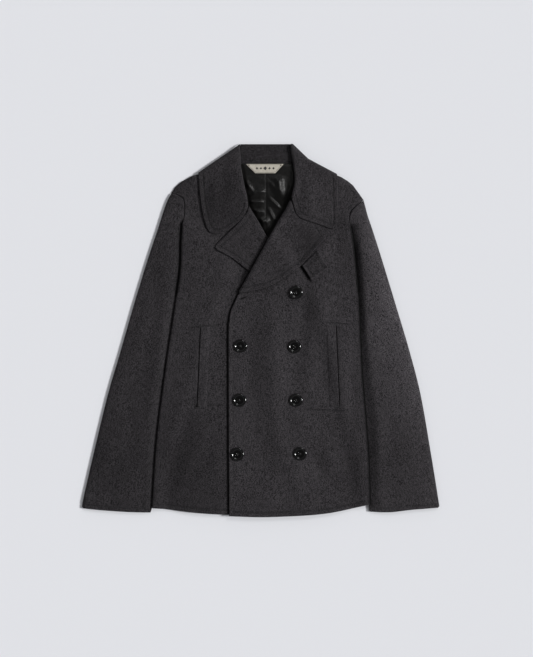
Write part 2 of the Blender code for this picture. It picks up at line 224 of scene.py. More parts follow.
def wall(outline, underside, thick, grid=0.005, rings=RINGS, lines=(), holes=()):
    """Points and faces of a wall of cloth: close rings along its edges and its `lines`, even
    points between them, and an edge rounded from its top to its underside."""
    loops = [outline, *holes]
    rims = [closed(loop) for loop in loops]
    inner = [inward(loops[0], d) for d in rings] + [inward(h, -d) for h in holes for d in rings[:3]]
    for run in lines:
        heading = np.gradient(run, axis=0)
        side = np.stack([-heading[:, 1], heading[:, 0]], axis=1)
        side /= np.linalg.norm(side, axis=1)[:, None]
        inner += [run + side * d for d in BESIDE_LINE]
    low, high = outline.min(axis=0), outline.max(axis=0)
    rows = np.arange(low[1], high[1], grid * 0.866)
    across = np.arange(low[0], high[0] + grid, grid)
    even = np.concatenate(
        [
            np.stack([across - (k % 2) * grid / 2, np.full(len(across), y)], axis=1)
            for k, y in enumerate(rows)
        ]
    )
    even = even[within(even, outline)]
    even = even[away(even, rims[0]) > rings[-1] + 0.6 * grid]
    for run in lines:
        even = even[away(even, run) > BESIDE_LINE[-1] + 0.5 * grid]
    gathered = np.concatenate([*inner, even])
    gathered = gathered[within(gathered, outline)]
    for hole in holes:
        gathered = gathered[~within(gathered, hole)]
    room_to_rim = np.min([away(gathered, rim) for rim in rims], axis=0)
    gathered = gathered[room_to_rim > rings[0] * 0.9]
    step = rings[0] * 1.5
    _, kept = np.unique(np.round(gathered / step).astype(int), axis=0, return_index=True)
    flat = np.concatenate([*loops, gathered[np.sort(kept)]])
    edges, first = [], 0
    for loop in loops:
        count = len(loop)
        edges += [(first + i, first + (i + 1) % count) for i in range(count)]
        first += count
    found = delaunay_2d_cdt([Vector(p) for p in flat], edges, [], 1, 1e-7, False)
    xy = np.array([tuple(v) for v in found[0]])
    tris = np.array([face for face in found[2] if len(face) == 3])
    middle = xy[tris].mean(axis=1)
    keep = within(middle, outline)
    for hole in holes:
        keep &= ~within(middle, hole)
    tris = tris[keep]
    used, tris = np.unique(tris, return_inverse=True)
    xy, tris = xy[used], tris.reshape(-1, 3)
    a, b, c = xy[tris[:, 0]], xy[tris[:, 1]], xy[tris[:, 2]]
    turned = (b[:, 0] - a[:, 0]) * (c[:, 1] - a[:, 1]) < (b[:, 1] - a[:, 1]) * (c[:, 0] - a[:, 0])
    tris[turned] = tris[turned][:, ::-1]
    depth = np.min([away(xy, rim) for rim in rims], axis=0)
    full = np.sqrt(1 - (1 - np.clip(depth / (ROUNDING * thick), 0, 1)) ** 2) / 2
    base = underside(xy)
    top = np.column_stack([xy, base + thick * (0.5 + full)])
    bottom = np.column_stack([xy, base + thick * (0.5 - full)])
    inside = depth > 1e-6
    below = np.arange(len(xy))
    below[inside] = len(xy) + np.arange(inside.sum())
    points = np.concatenate([top, bottom[inside]])
    return points, np.concatenate([tris, below[tris][:, ::-1]])


def cloth(
    name, outline, underside, material, rests_on=(), thick=CLOTH, slot="wool", held="laid", nap_and_painted_light=(), **more
):
    """A cut piece of cloth that takes the place of the frame's solid of that name. Painted light and shade
    make its colour lighter or darker in patches (x, y, half width, half height, share) and beside runs (run,
    width, share)."""
    points, faces = wall(outline, underside, thick, **more)
    made = piece_of(name + "_cloth", points, faces, material, slot, [name])
    xy = points[:, :2]
    # Painted light and shade: a factor on the colour, below 1 for painted shade and above 1 for painted light
    lie = np.ones(len(xy))
    for *place, size, share in nap_and_painted_light:
        if len(place) == 1:
            lie *= 1 + share * np.exp(-((away(xy, place[0]) / size) ** 2))
        else:
            x, y, wide = place
            lie *= 1 + share * np.exp(-(((xy[:, 0] - x) / wide) ** 2) - ((xy[:, 1] - y) / size) ** 2)
    made.data.attributes.new("nap_and_painted_light", "FLOAT", "POINT").data.foreach_set("value", lie)
    x, y = outline.T
    size = outline.max(axis=0) - outline.min(axis=0)
    return made


def node(tree, kind, inputs=None, **settings):
    """A shader node with its settings, and its inputs set or linked by name."""
    made = tree.nodes.new("ShaderNode" + kind)
    for name, value in settings.items():
        setattr(made, name, value)
    for name, value in (inputs or {}).items():
        if isinstance(value, bpy.types.NodeSocket):
            tree.links.new(value, made.inputs[name])
        else:
            made.inputs[name].default_value = value
    return made


def blend(tree, factor, dark, light):
    """A colour between two, given as colours or as links."""
    pair = {"A": dark, "B": light}
    for end, colour in pair.items():
        if isinstance(colour, tuple):
            pair[end] = (*colour, 1)
    made = node(tree, "Mix", {"Factor": factor, **pair}, data_type="RGBA")
    return [socket for socket in made.outputs if socket.type == "RGBA"][0]


def new_material(name):
    """A material with its node tree, its shader and the place on the piece that its patterns use."""
    made = bpy.data.materials.new(name)
    made.use_nodes = True
    place = node(made.node_tree, "TexCoord").outputs["Object"]
    return made, made.node_tree, made.node_tree.nodes["Principled BSDF"], place


def effect(name, inputs, outputs):
    """An empty group for an effect that several materials use."""
    group = bpy.data.node_groups.new(name, "ShaderNodeTree")
    for title, kind in inputs:
        group.interface.new_socket(title, in_out="INPUT", socket_type="NodeSocket" + kind)
    for title, kind in outputs:
        group.interface.new_socket(title, in_out="OUTPUT", socket_type="NodeSocket" + kind)
    return group, group.nodes.new("NodeGroupInput").outputs, group.nodes.new("NodeGroupOutput").inputs


heather, given, gives = effect(
    "heathered_melton",
    [
        ("Place", "Vector"),
        ("Dark Fibre", "Color"),
        ("Light Fibre", "Color"),
        ("Twill", "Float"),
        ("Painted Light", "Float"),
    ],
    [("Color", "Color"), ("Height", "Float"), ("Roughness", "Float")],
)
# Felted clumps of light and dark fibre, a millimetre or two across
clumps = node(heather, "TexNoise", {"Vector": given["Place"], "Scale": 820, "Detail": 2, "Roughness": 0.6})
# Single hairs lying along the arm or the body
drawn_out = node(heather, "Mapping", {"Vector": given["Place"], "Scale": (1.0, 0.16, 1.0)})
hairs = node(
    heather,
    "TexNoise",
    {"Vector": drawn_out.outputs[0], "Scale": 700, "Detail": 4, "Roughness": 0.7},
)
# The twill's diagonal, almost lost under the nap
slant = node(heather, "Mapping", {"Vector": given["Place"], "Rotation": (0, 0, math.radians(63))})
twill = node(
    heather,
    "TexWave",
    {"Vector": slant.outputs[0], "Scale": 110, "Distortion": 2.2, "Detail": 2, "Detail Scale": 3},
)
# Broad patches where the nap lies another way
patches = node(heather, "TexNoise", {"Vector": given["Place"], "Scale": 22, "Detail": 3, "Roughness": 0.6})


def sum_of(tree, *terms):
    """A weighted sum of (value, weight) pairs, less half of each weight."""
    total = None
    for value, weight in terms:
        share = node(tree, "Math", {0: value, 1: 0.5}, operation="SUBTRACT")
        total = node(
            tree,
            "Math",
            {0: share.outputs[0], 1: weight, 2: total.outputs[0] if total else 0.0},
            operation="MULTIPLY_ADD",
        )
    return total.outputs[0]


twill_share = node(heather, "Math", {0: given["Twill"], 1: 0.5}, operation="MULTIPLY").outputs[0]
tone = sum_of(
    heather,
    (clumps.outputs["Fac"], 7.6),
    (hairs.outputs["Fac"], 3.2),
    (twill.outputs["Fac"], twill_share),
    (patches.outputs["Fac"], 0.40),
)
tone = node(heather, "Math", {0: tone, 1: 0.42}, operation="ADD", use_clamp=True).outputs[0]
mixed = blend(heather, tone, given["Dark Fibre"], given["Light Fibre"])
# The fibre colour scaled by the piece's painted light and shade
painted_colour = node(heather, "VectorMath", {0: mixed}, operation="SCALE")
heather.links.new(given["Painted Light"], painted_colour.inputs["Scale"])
heather.links.new(painted_colour.outputs[0], gives["Color"])
nap_and_painted_light = sum_of(
    heather,
    (clumps.outputs["Fac"], 0.9),
    (hairs.outputs["Fac"], 0.6),
    (twill.outputs["Fac"], twill_share),
)
heather.links.new(nap_and_painted_light, gives["Height"])
dull = node(heather, "Math", {0: clumps.outputs["Fac"], 1: -0.2, 2: 1.0}, operation="MULTIPLY_ADD")
heather.links.new(dull.outputs[0], gives["Roughness"])


def melton(name, painted_brightness=1.0, grain=0.0, twill=0.35):
    """Charcoal heathered melton, with the cloth's grain turned by `grain` degrees. Its colours are scaled
    by painted light and shade, lighter for pieces the lamp lights more and darker for pieces in shade.
    """
    made, tree, shader, place = new_material(name)
    turned = node(tree, "Mapping", {"Vector": place, "Rotation": (0, 0, math.radians(grain))})
    wool = node(tree, "Group", node_tree=heather)
    tree.links.new(turned.outputs[0], wool.inputs["Place"])
    # The piece's painted light and shade, from its attribute
    tree.links.new(node(tree, "Attribute", attribute_name="nap_and_painted_light").outputs["Fac"], wool.inputs["Painted Light"])
    wool.inputs["Dark Fibre"].default_value = (0.0050 * painted_brightness, 0.0046 * painted_brightness, 0.0052 * painted_brightness, 1)
    wool.inputs["Light Fibre"].default_value = (0.0480 * painted_brightness, 0.0440 * painted_brightness, 0.0478 * painted_brightness, 1)
    wool.inputs["Twill"].default_value = twill
    bump = node(tree, "Bump", {"Height": wool.outputs["Height"], "Strength": 0.5, "Distance": 0.0006})
    tree.links.new(wool.outputs["Color"], shader.inputs["Base Color"])
    tree.links.new(wool.outputs["Roughness"], shader.inputs["Roughness"])
    tree.links.new(bump.outputs[0], shader.inputs["Normal"])
    shader.inputs["Specular IOR Level"].default_value = 0.12
    shader.inputs["Sheen Weight"].default_value = 0.10
    shader.inputs["Sheen Roughness"].default_value = 0.45
    shader.inputs["Sheen Tint"].default_value = (0.62, 0.60, 0.64, 1)
    return made


# From the shoulder's tip round the armhole, then down the side that lies over the sleeve
ARMHOLE = {
    "right": curve(
        (-0.1842, 0.2833), (-0.1656, 0.2765), (-0.1574, 0.2660), (-0.1570, 0.2379), (-0.1609, 0.2173)
    ),
    "left": curve(
        (0.2132, 0.2688), (0.1949, 0.2544), (0.1856, 0.2421), (0.1825, 0.2276), (0.1862, 0.2132)
    ),
}
SIDE = {
    "right": curve(
        (-0.1609, 0.2173), (-0.1634, 0.1800), (-0.1650, 0.1267), (-0.1739, 0.0628),
        (-0.1903, -0.0443), (-0.2037, -0.1411), (-0.2151, -0.2421), (-0.2229, -0.3657),
    ),
    "left": curve(
        (0.1862, 0.2132), (0.1908, 0.1864), (0.1969, 0.1267), (0.2021, 0.0628), (0.2085, -0.0814),
        (0.2155, -0.1720), (0.2223, -0.2647), (0.2254, -0.3584),
    ),
}
OUTER_FOLD = {
    "right": curve(
        (-0.1842, 0.2833), (-0.1952, 0.2600), (-0.2124, 0.2070), (-0.2330, 0.1452),
        (-0.2612, 0.0525), (-0.2878, -0.0402), (-0.3148, -0.1329), (-0.3447, -0.2565),
        (-0.3659, -0.3492), (-0.3674, -0.3642),
    ),
    "left": curve(
        (0.2132, 0.2688), (0.2212, 0.2379), (0.2316, 0.2070), (0.2513, 0.1452), (0.2795, 0.0525),
        (0.3071, -0.0402), (0.3308, -0.1329), (0.3524, -0.2565), (0.3674, -0.3492),
        (0.3692, -0.3628),
    ),
}
CUFF = {
    "right": curve((-0.3645, -0.3666), (-0.3185, -0.3710), (-0.2672, -0.3743), (-0.2264, -0.3753)),
    "left": curve((0.3665, -0.3654), (0.3123, -0.3696), (0.2670, -0.3745), (0.2252, -0.3735)),
}
SLEEVE_TUCK = 0.090  # of the sleeve that lies under the coat at the underarm, fading to the cuff
UNDERARM_Y, CUFF_Y = 0.150, -0.3755
INNER_SEAM = {}
for side, toward in (("right", 1), ("left", -1)):
    down = SIDE[side][SIDE[side][:, 1] < 0.140][::6]
    share = np.clip((down[:, 1] - CUFF_Y) / (UNDERARM_Y - CUFF_Y), 0, 1) ** 1.2
    INNER_SEAM[side] = down + np.stack([toward * SLEEVE_TUCK * share, 0 * share], axis=1)
TUCKED = {
    side: cut_line(INNER_SEAM[side], CUFF[side][-1:], SIDE[side][::-1]) for side in ("right", "left")
}
SLEEVE = {
    side: cut_line(OUTER_FOLD[side], CUFF[side], INNER_SEAM[side][::-1], ARMHOLE[side][:0:-1])
    for side in ("right", "left")
}


def drawn_in(outline, runs, by):
    """The outline with the points on some of its runs moved inwards."""
    near = np.min([away(outline, run) for run in runs], axis=0)
    share = (1 - smooth((near - 0.001) / 0.012))[:, None]
    return outline + (inward(outline, by) - outline) * share


# Lit and shaded copies of one melton: the left sleeve, on the lamp's side, painted lighter and the right
# darker
arm_wool = {
    "right": melton("melton_right_sleeve", painted_brightness=0.96, grain=16),
    "left": melton("melton_left_sleeve", painted_brightness=1.32, grain=-15),
}
for side in ("right", "left"):
    cloth(
        "sleeve_under_" + side,
        drawn_in(SLEEVE[side], [OUTER_FOLD[side]], 0.0035),
        lambda xy: np.zeros(len(xy)),
        arm_wool[side],
        rests_on=["table_top"],
        grid=0.009,
        rings=(0.0006, 0.0018, 0.0040),
    )

# The tops of the sleeves. Each is a long panel of the same melton, eased into the armhole so that
# its head stands up, full beyond the coat's side, and turned down along the outer fold.


def turned_down(xy, run, width, drop):
    """How far cloth has gone down towards a rounded edge."""
    short = np.clip(1 - away(xy, run) / width, 0, 1)
    return drop * (1 - np.sqrt(1 - short**2))


def ridges(xy, *folds):
    """The sum of soft folds. Each is (width, (x, y, height), (x, y, height), ...)."""
    total = np.zeros(len(xy))
    for width, *knots in folds:
        knots = np.array(knots)
        line = curve(*knots[:, :2], step=0.008)
        reach = np.concatenate([[0], np.cumsum(np.hypot(*np.diff(knots[:, :2], axis=0).T))])
        travelled = np.concatenate([[0], np.cumsum(np.hypot(*np.diff(line, axis=0).T))])
        heights = np.interp(travelled / travelled[-1], reach / reach[-1], knots[:, 2])
        gap, height = nearest(xy, line, heights)
        total += height * np.exp(-((gap / width) ** 2))
    return total


ARM_FOLDS = {
    "right": (
        (
            0.010,
            (-0.186, 0.180, 0), (-0.192, 0.110, 0.0016), (-0.206, -0.030, 0.0022),
            (-0.226, -0.15, 0.0016), (-0.245, -0.26, 0),
        ),
        (0.014, (-0.208, 0.150, 0), (-0.222, 0.030, -0.0014), (-0.236, -0.06, -0.0012), (-0.255, -0.17, 0)),
        (0.016, (-0.205, 0.215, 0), (-0.226, 0.120, 0.0012), (-0.250, 0.020, 0.0006), (-0.270, -0.05, 0)),
        (0.018, (-0.285, -0.10, 0), (-0.275, -0.18, -0.0012), (-0.262, -0.27, -0.0013), (-0.255, -0.33, 0)),
        (0.022, (-0.325, -0.20, 0), (-0.330, -0.27, 0.0012), (-0.325, -0.35, 0.0002)),
    ),
    "left": (
        (0.015, (0.207, 0.225, 0), (0.224, 0.150, 0.0018), (0.245, 0.060, 0.0008), (0.260, 0.00, 0)),
        (0.018, (0.252, 0.080, 0), (0.270, -0.02, -0.0012), (0.283, -0.12, 0)),
        (0.020, (0.305, -0.12, 0), (0.300, -0.20, 0.0013), (0.290, -0.30, 0.0006), (0.285, -0.35, 0)),
        (0.017, (0.262, -0.15, 0), (0.262, -0.24, -0.0013), (0.255, -0.33, 0)),
        (0.014, (0.320, -0.19, 0), (0.330, -0.27, -0.0010), (0.335, -0.34, 0)),
    ),
}


CUFF_STITCH = 0.008  # from the cuff's edge to its row of stitches


def sleeve_top_under(side, xy):
    """Pressed under the coat's side, a full tube beyond it, and flatter at the cuff."""
    reach = 0.011 + (0.013 * smooth((0.05 - xy[:, 1]) / 0.25) if side == "left" else 0)
    free = smooth((beside(xy, TUCKED[side]) - 0.0025) / reach)
    across = smooth(away(xy, OUTER_FOLD[side]) / 0.034)
    cuff = away(xy, CUFF[side])
    eased = 0.55 + 0.45 * smooth(away(xy, ARMHOLE[side]) / 0.05)
    full = 0.0066 * (0.45 + 0.55 * smooth(cuff / 0.16)) * eased * across + 0.0022 * (1 - across)
    waves = 0.0010 * unevenness(xy, 0.055, 3) + 0.0003 * unevenness(xy, 0.018, 4)
    lift = (full + waves * across + ridges(xy, *ARM_FOLDS[side]) * across) * free
    lift -= turned_down(xy, OUTER_FOLD[side], 0.010, 0.0045)
    lift -= turned_down(xy, ARMHOLE[side], 0.0030, 0.0012) * free
    lift -= 0.0010 * np.exp(-(((cuff - CUFF_STITCH) / 0.0013) ** 2)) * free
    return np.maximum(CLOTH + AIR + lift, 0.0002)


def beside_run(run, distance):
    """The run moved sideways by a distance, without the points that a corner would crowd."""
    heading = np.gradient(run, axis=0)
    side = np.stack([-heading[:, 1], heading[:, 0]], axis=1)
    moved = run + side / np.linalg.norm(side, axis=1)[:, None] * distance
    return moved[away(moved, run) > abs(distance) * 0.97]


CUFF_ROW = {
    "right": beside_run(CUFF["right"][2:-1], CUFF_STITCH),
    "left": beside_run(CUFF["left"][2:-1], -CUFF_STITCH),
}
# Painted shade in the deep groove beside the coat's side and along its edge, a painted sheen along the
# outer fold, and painted light and shade in broad patches
GROOVE = {side: SIDE[side][(SIDE[side][:, 1] > 0.075) & (SIDE[side][:, 1] < 0.225)] for side in SIDE}
ARM_PAINTED_LIGHT = {
    "right": (
        (GROOVE["right"], 0.0060, -0.86),
        (SIDE["right"], 0.0022, -0.80),
        (OUTER_FOLD["right"][15:70], 0.016, 0.28),
        (SIDE["right"] + (-0.010, 0), 0.009, -0.14),
        (-0.232, -0.03, 0.020, 0.09, -0.10), (-0.250, -0.14, 0.030, 0.08, -0.08),
        (-0.290, -0.28, 0.070, 0.10, -0.28), (-0.205, 0.12, 0.016, 0.07, -0.20),
    ),
    "left": (
        (GROOVE["left"], 0.0046, -0.88),
        (SIDE["left"] + (0.0012, 0), 0.0024, -0.97),
        (SIDE["left"] + (0.005, 0), 0.010, -0.32),
        (OUTER_FOLD["left"][10:110], 0.016, 0.30),
        (0.262, 0.04, 0.050, 0.10, 0.26), (0.300, -0.10, 0.050, 0.08, 0.08),
        (0.290, -0.29, 0.065, 0.10, -0.24), (0.234, -0.24, 0.012, 0.11, -0.30),
    ),
}
for side in ("right", "left"):
    cloth(
        "sleeve_top_" + side,
        drawn_in(SLEEVE[side], [ARMHOLE[side]], 0.0004),
        lambda xy, side=side: sleeve_top_under(side, xy),
        arm_wool[side],
        rests_on=["sleeve_under_" + side + "_cloth"],
        lines=[SIDE[side] + (0.0012 if side == "left" else -0.0012, 0)],
        # Painted light and shade, with painted shade in the groove of the cuff's row of stitches
        nap_and_painted_light=(*ARM_PAINTED_LIGHT[side], (CUFF_ROW[side], 0.0012, -0.35)),
    )

# The back and the collar's fall. The back is two widths of melton joined down the middle, lying on
# the table and over the tucked sleeves. The fall is the part of the collar that lies behind it.
SHOULDER = {
    "right": straight(
        (-0.0500, 0.3520), (-0.1200, 0.3190), (-0.1300, 0.3222), (-0.1400, 0.3190),
        (-0.1491, 0.3146), (-0.1656, 0.3057), (-0.1765, 0.2955), (-0.1842, 0.2833),
    ),
    "left": straight(
        (0.0740, 0.3480), (0.1480, 0.3170), (0.1590, 0.3195), (0.1667, 0.3165), (0.1805, 0.3082),
        (0.1911, 0.2995), (0.2035, 0.2825), (0.2132, 0.2688),
    ),
}
HEM = {
    "right": curve(
        (-0.2229, -0.3657), (-0.1912, -0.3687), (-0.1471, -0.3743), (-0.0667, -0.3794), (0.0939, -0.3780)
    ),
    "left": curve(
        (0.2254, -0.3584), (0.1619, -0.3727), (0.1084, -0.3799), (0.0107, -0.3842), (-0.0643, -0.3821)
    ),
}
FALL = cut_line(
    [
        (-0.0420, 0.3850), (-0.1280, 0.3262), (-0.1230, 0.3020), (-0.0600, 0.2890),
        (0.0116, 0.2860), (0.0900, 0.2890), (0.1540, 0.3020), (0.1580, 0.3232), (0.0990, 0.3545),
        (0.0672, 0.3850),
    ]
)
COLLAR_TURN = {
    "right": straight((-0.0420, 0.3850), (-0.1280, 0.3262)),
    "left": straight((0.0672, 0.3850), (0.0990, 0.3545), (0.1580, 0.3232)),
}
COLLAR_TOP = straight((-0.0420, 0.3850), (0.0672, 0.3850))
BACK_HEM_RISE = 0.006  # the back's hem stops this far above the fronts'
back_hem = np.concatenate([HEM["right"][1:46], HEM["left"][45:0:-1]]) + (0, BACK_HEM_RISE)
side_ends = {side: SIDE[side][:-2] for side in SIDE}
BACK = cut_line(
    SHOULDER["right"],
    ARMHOLE["right"][1:],
    side_ends["right"][1:],
    back_hem,
    side_ends["left"][:0:-1],
    ARMHOLE["left"][:0:-1],
    SHOULDER["left"][::-1],
    [(0.0740, 0.3445), (-0.0500, 0.3445)],
)
BACK_SEAM = curve((0.0120, 0.3400), (0.0118, 0.1000), (0.0112, -0.1500), (0.0106, -0.3700))


def over(xy, outline):
    """1 on and just around what lies underneath, coming softly down to 0 beside it."""
    return 1 - smooth((beside(xy, outline) - 0.005) / 0.030)


def back_under(xy):
    tucked = np.maximum(over(xy, TUCKED["right"]), over(xy, TUCKED["left"]))
    return np.maximum(tucked * 2 * (CLOTH + AIR), over(xy, FALL) * (CLOTH + AIR))


def back_lying(xy):
    """The back with the hollows on its underside: its seam and a few soft folds."""
    seam = 0.0009 * np.exp(-((away(xy, BACK_SEAM) / 0.0014) ** 2))
    folds = ridges(
        xy,
        (0.012, (-0.09, 0.16, 0), (-0.05, 0.06, 0.0010), (-0.045, -0.06, 0)),
        (0.014, (0.10, 0.12, 0), (0.085, 0.00, 0.0011), (0.10, -0.12, 0)),
        (0.011, (-0.10, -0.16, 0), (-0.085, -0.25, 0.0009), (-0.09, -0.33, 0)),
        (0.010, (0.06, -0.18, 0), (0.072, -0.26, 0.0008), (0.07, -0.33, 0)),
    )
    return back_under(xy) + seam + folds


# Lit and shaded copies of the melton: the left front painted a little lighter, the right front and the collar
# painted darker, for how the lamp falls on them
body_wool = {
    "back": melton("melton_back"),
    "right": melton("melton_right_front", painted_brightness=0.98),
    "left": melton("melton_left_front", painted_brightness=1.05),
}
collar_wool = melton("melton_collar", painted_brightness=0.92, grain=4, twill=0.5)
cloth(
    "collar_fall_back",
    drawn_in(FALL, [COLLAR_TURN["right"], COLLAR_TURN["left"], COLLAR_TOP], 0.0035),
    lambda xy: np.zeros(len(xy)),
    collar_wool,
    rests_on=["table_top"],
    grid=0.008,
)
cloth(
    "back",
    drawn_in(BACK, [SHOULDER["right"], SHOULDER["left"], SIDE["right"], SIDE["left"]], 0.0035),
    back_lying,
    body_wool["back"],
    rests_on=["table_top", "sleeve_top_right_cloth", "sleeve_top_left_cloth"],
    grid=0.0085,
    rings=(0.0006, 0.0018, 0.0040, 0.0080),
    lines=[BACK_SEAM],
)

# The collar's stand. A band of melton round the inside of the neck, folded over at its top into the
# fall behind. Its lower edge is sewn to the lining, over the label's top edge.
STAND = cut_line(
    [
        (-0.0410, 0.3844), (-0.0410, 0.3700), (-0.0500, 0.3600), (-0.0500, 0.3449),
        (0.0740, 0.3449), (0.0740, 0.3600), (0.0645, 0.3700), (0.0655, 0.3844),
    ]
)


def stand_under(xy):
    bulge = 0.0012 * np.exp(-(((xy[:, 1] - 0.362) / 0.010) ** 2))
    crease = ridges(xy, (0.004, (-0.012, 0.349, 0), (-0.016, 0.362, -0.0007), (-0.012, 0.376, 0)))
    lift = bulge + crease + 0.0004 * unevenness(xy, 0.022, 8)
    return back_under(xy) + np.maximum(lift, 0) - turned_down(xy, COLLAR_TOP, 0.007, 0.0026)


cloth(
    "collar_stand",
    STAND,
    stand_under,
    # The stand painted darker: painted shade on a band that faces away from the lamp
    melton("melton_collar_stand", painted_brightness=0.71, grain=90),
    rests_on=["back_cloth", "collar_fall_back_cloth"],
    held="folded",
    grid=0.004,
)

# The lining. Black satin, cut a little larger than the coat so that it never pulls, and so it
# crumples inside the neck. It is seamed down the middle of the back.
SATIN = 0.0008
LINING = cut_line(
    [
        (-0.0500, 0.3440), (-0.0520, 0.2600), (0.0000, 0.1500), (0.0300, 0.1500), (0.0860, 0.2400),
        (0.0740, 0.3440),
    ]
)
NECK_OPENING = cut_line(
    [
        (-0.0400, 0.3450), (-0.0330, 0.3010), (-0.0255, 0.2700), (-0.0240, 0.2580),
        (-0.0035, 0.2235), (0.0136, 0.1900), (0.0381, 0.2276), (0.0511, 0.2482), (0.0628, 0.2740),
        (0.0670, 0.2894), (0.0700, 0.3100), (0.0670, 0.3450),
    ]
)
LINING_SEAM = curve((0.0115, 0.3440), (0.0118, 0.2700), (0.0110, 0.2100), (0.0115, 0.1560))
CRUMPLES = (
    (0.0036, (-0.025, 0.2730, 0), (-0.012, 0.2810, 0.0034), (0.002, 0.2860, 0.0030), (0.0100, 0.2870, 0)),
    (0.0030, (-0.026, 0.2655, 0), (-0.014, 0.2640, 0.0032), (0.000, 0.2648, 0.0026), (0.0095, 0.2640, 0)),
    (0.0028, (-0.018, 0.2475, 0), (-0.006, 0.2458, 0.0028), (0.0095, 0.2450, 0)),
    (0.0030, (0.0165, 0.2760, 0), (0.0230, 0.2680, 0.0034), (0.0330, 0.2590, 0.0028), (0.0420, 0.2500, 0)),
    (0.0028, (0.0150, 0.2540, 0), (0.0200, 0.2450, 0.0030), (0.0260, 0.2330, 0.0020), (0.0300, 0.2240, 0)),
    (0.0085, (0.0330, 0.3260, 0), (0.0360, 0.3120, 0.0052), (0.0385, 0.2900, 0.0046), (0.0420, 0.2700, 0)),
    (0.0050, (-0.0020, 0.2330, 0), (0.0050, 0.2260, 0.0034), (0.0120, 0.2250, 0.0030), (0.0200, 0.2300, 0)),
    (0.0040, (-0.0330, 0.3130, 0), (-0.0240, 0.2980, 0.0024), (-0.0160, 0.2870, 0.0010), (-0.010, 0.280, 0)),
    (0.0042, (0.0180, 0.3100, 0), (0.0250, 0.2990, 0.0022), (0.0300, 0.2880, 0.0010), (0.0310, 0.2800, 0)),
)


def lining_under(xy):
    shown = np.where(within(xy, NECK_OPENING), smooth(away(xy, closed(NECK_OPENING)) / 0.007), 0)
    seam = -0.0004 * np.exp(-((away(xy, LINING_SEAM) / 0.0012) ** 2))
    crumpled = ridges(xy, *CRUMPLES) + 0.0006 * (1 + unevenness(xy, 0.0110, 21))
    crumpled *= smooth((0.322 - xy[:, 1]) / 0.016)
    return back_under(xy) + CLOTH + AIR + shown * np.maximum(0.0010 + 1.1 * crumpled + seam, 0)


satin, tree, shader, place = new_material("black_satin")
slipped = node(tree, "Mapping", {"Vector": place, "Rotation": (0, 0, math.radians(28))})
threads = node(tree, "TexWave", {"Vector": slipped.outputs[0], "Scale": 1100, "Distortion": 0.6, "Detail": 1})
slub = node(tree, "TexNoise", {"Vector": place, "Scale": 420, "Detail": 3})
crush = node(tree, "TexNoise", {"Vector": place, "Scale": 95, "Detail": 2})
height = sum_of(tree, (threads.outputs["Fac"], 0.25), (slub.outputs["Fac"], 0.3), (crush.outputs["Fac"], 0.9))
satin_bump = node(tree, "Bump", {"Height": height, "Strength": 0.55, "Distance": 0.0005})
sheen_of_weave = node(tree, "Math", {0: slub.outputs["Fac"], 1: 0.16, 2: 0.27}, operation="MULTIPLY_ADD")
black = blend(tree, slub.outputs["Fac"], (0.0014, 0.0013, 0.0012), (0.0052, 0.0047, 0.0044))
tree.links.new(black, shader.inputs["Base Color"])
tree.links.new(sheen_of_weave.outputs[0], shader.inputs["Roughness"])
tree.links.new(satin_bump.outputs[0], shader.inputs["Normal"])
shader.inputs["Specular IOR Level"].default_value = 0.21
shader.inputs["Anisotropic"].default_value = 0.35
cloth(
    "lining",
    LINING,
    lining_under,
    satin,
    rests_on=["back_cloth"],
    thick=SATIN,
    slot="satin",
    grid=0.0016,
    rings=(0.0005, 0.0014),
    lines=[LINING_SEAM],
)

# The label. A cream ribbon woven with a plain dark border and five small diamonds, cut with
# slanting ends, its top edge caught in the neck seam and the rest hand-sewn to the lining.
LABEL = cut_line([(-0.0299, 0.3430), (-0.0105, 0.3238), (0.0307, 0.3238), (0.0480, 0.3430)])


def label_under(xy):
    return lining_under(xy) + SATIN + AIR + 0.0004 + 0.0003 * unevenness(xy, 0.012, 5)


ribbon, tree, shader, place = new_material("cream_ribbon")
warp = node(tree, "TexWave", {"Vector": place, "Scale": 900, "Distortion": 0.4})
weft = node(tree, "TexWave", {"Vector": place, "Scale": 1000, "Distortion": 0.4}, bands_direction="Y")
soil = node(tree, "TexNoise", {"Vector": place, "Scale": 260, "Detail": 3})
cross = sum_of(tree, (warp.outputs["Fac"], 0.5), (weft.outputs["Fac"], 0.5), (soil.outputs["Fac"], 0.8))
cream = blend(tree, soil.outputs["Fac"], (0.335, 0.305, 0.252), (0.535, 0.500, 0.430))
ribbon_bump = node(tree, "Bump", {"Height": cross, "Strength": 0.6, "Distance": 0.0003})
tree.links.new(cream, shader.inputs["Base Color"])
tree.links.new(ribbon_bump.outputs[0], shader.inputs["Normal"])
shader.inputs["Roughness"].default_value = 0.62
shader.inputs["Sheen Weight"].default_value = 0.15
cloth(
    "label",
    LABEL,
    label_under,
    ribbon,
    rests_on=["lining_cloth"],
    thick=0.0006,
    slot="label",
    grid=0.0018,
    rings=(0.0004, 0.0010),
)


def plain_thread(name, colour, roughness=0.6):
    """A twisted thread in one colour, with painted shade between its strands."""
    made, tree, shader, place = new_material(name)
    slant = node(tree, "Mapping", {"Vector": place, "Rotation": (0, 0, math.radians(35))})
    strands = node(tree, "TexWave", {"Vector": slant.outputs[0], "Scale": 1500, "Distortion": 0.5})
    dark = tuple(0.45 * c for c in colour)
    painted_strand_shade = blend(tree, strands.outputs["Fac"], dark, colour)
    bump = node(tree, "Bump", {"Height": strands.outputs["Fac"], "Strength": 0.4, "Distance": 0.0002})
    tree.links.new(painted_strand_shade, shader.inputs["Base Color"])
    tree.links.new(bump.outputs[0], shader.inputs["Normal"])
    shader.inputs["Roughness"].default_value = roughness
    return made


woven_in = []
border = inward(LABEL, 0.0014)
border = border[away(border, closed(LABEL)) > 0.00137]
line_inside = inward(LABEL, 0.0019)
line_inside = line_inside[away(line_inside, closed(LABEL)) > 0.00187]


def on_label(xy):
    return label_under(xy) + 0.00045


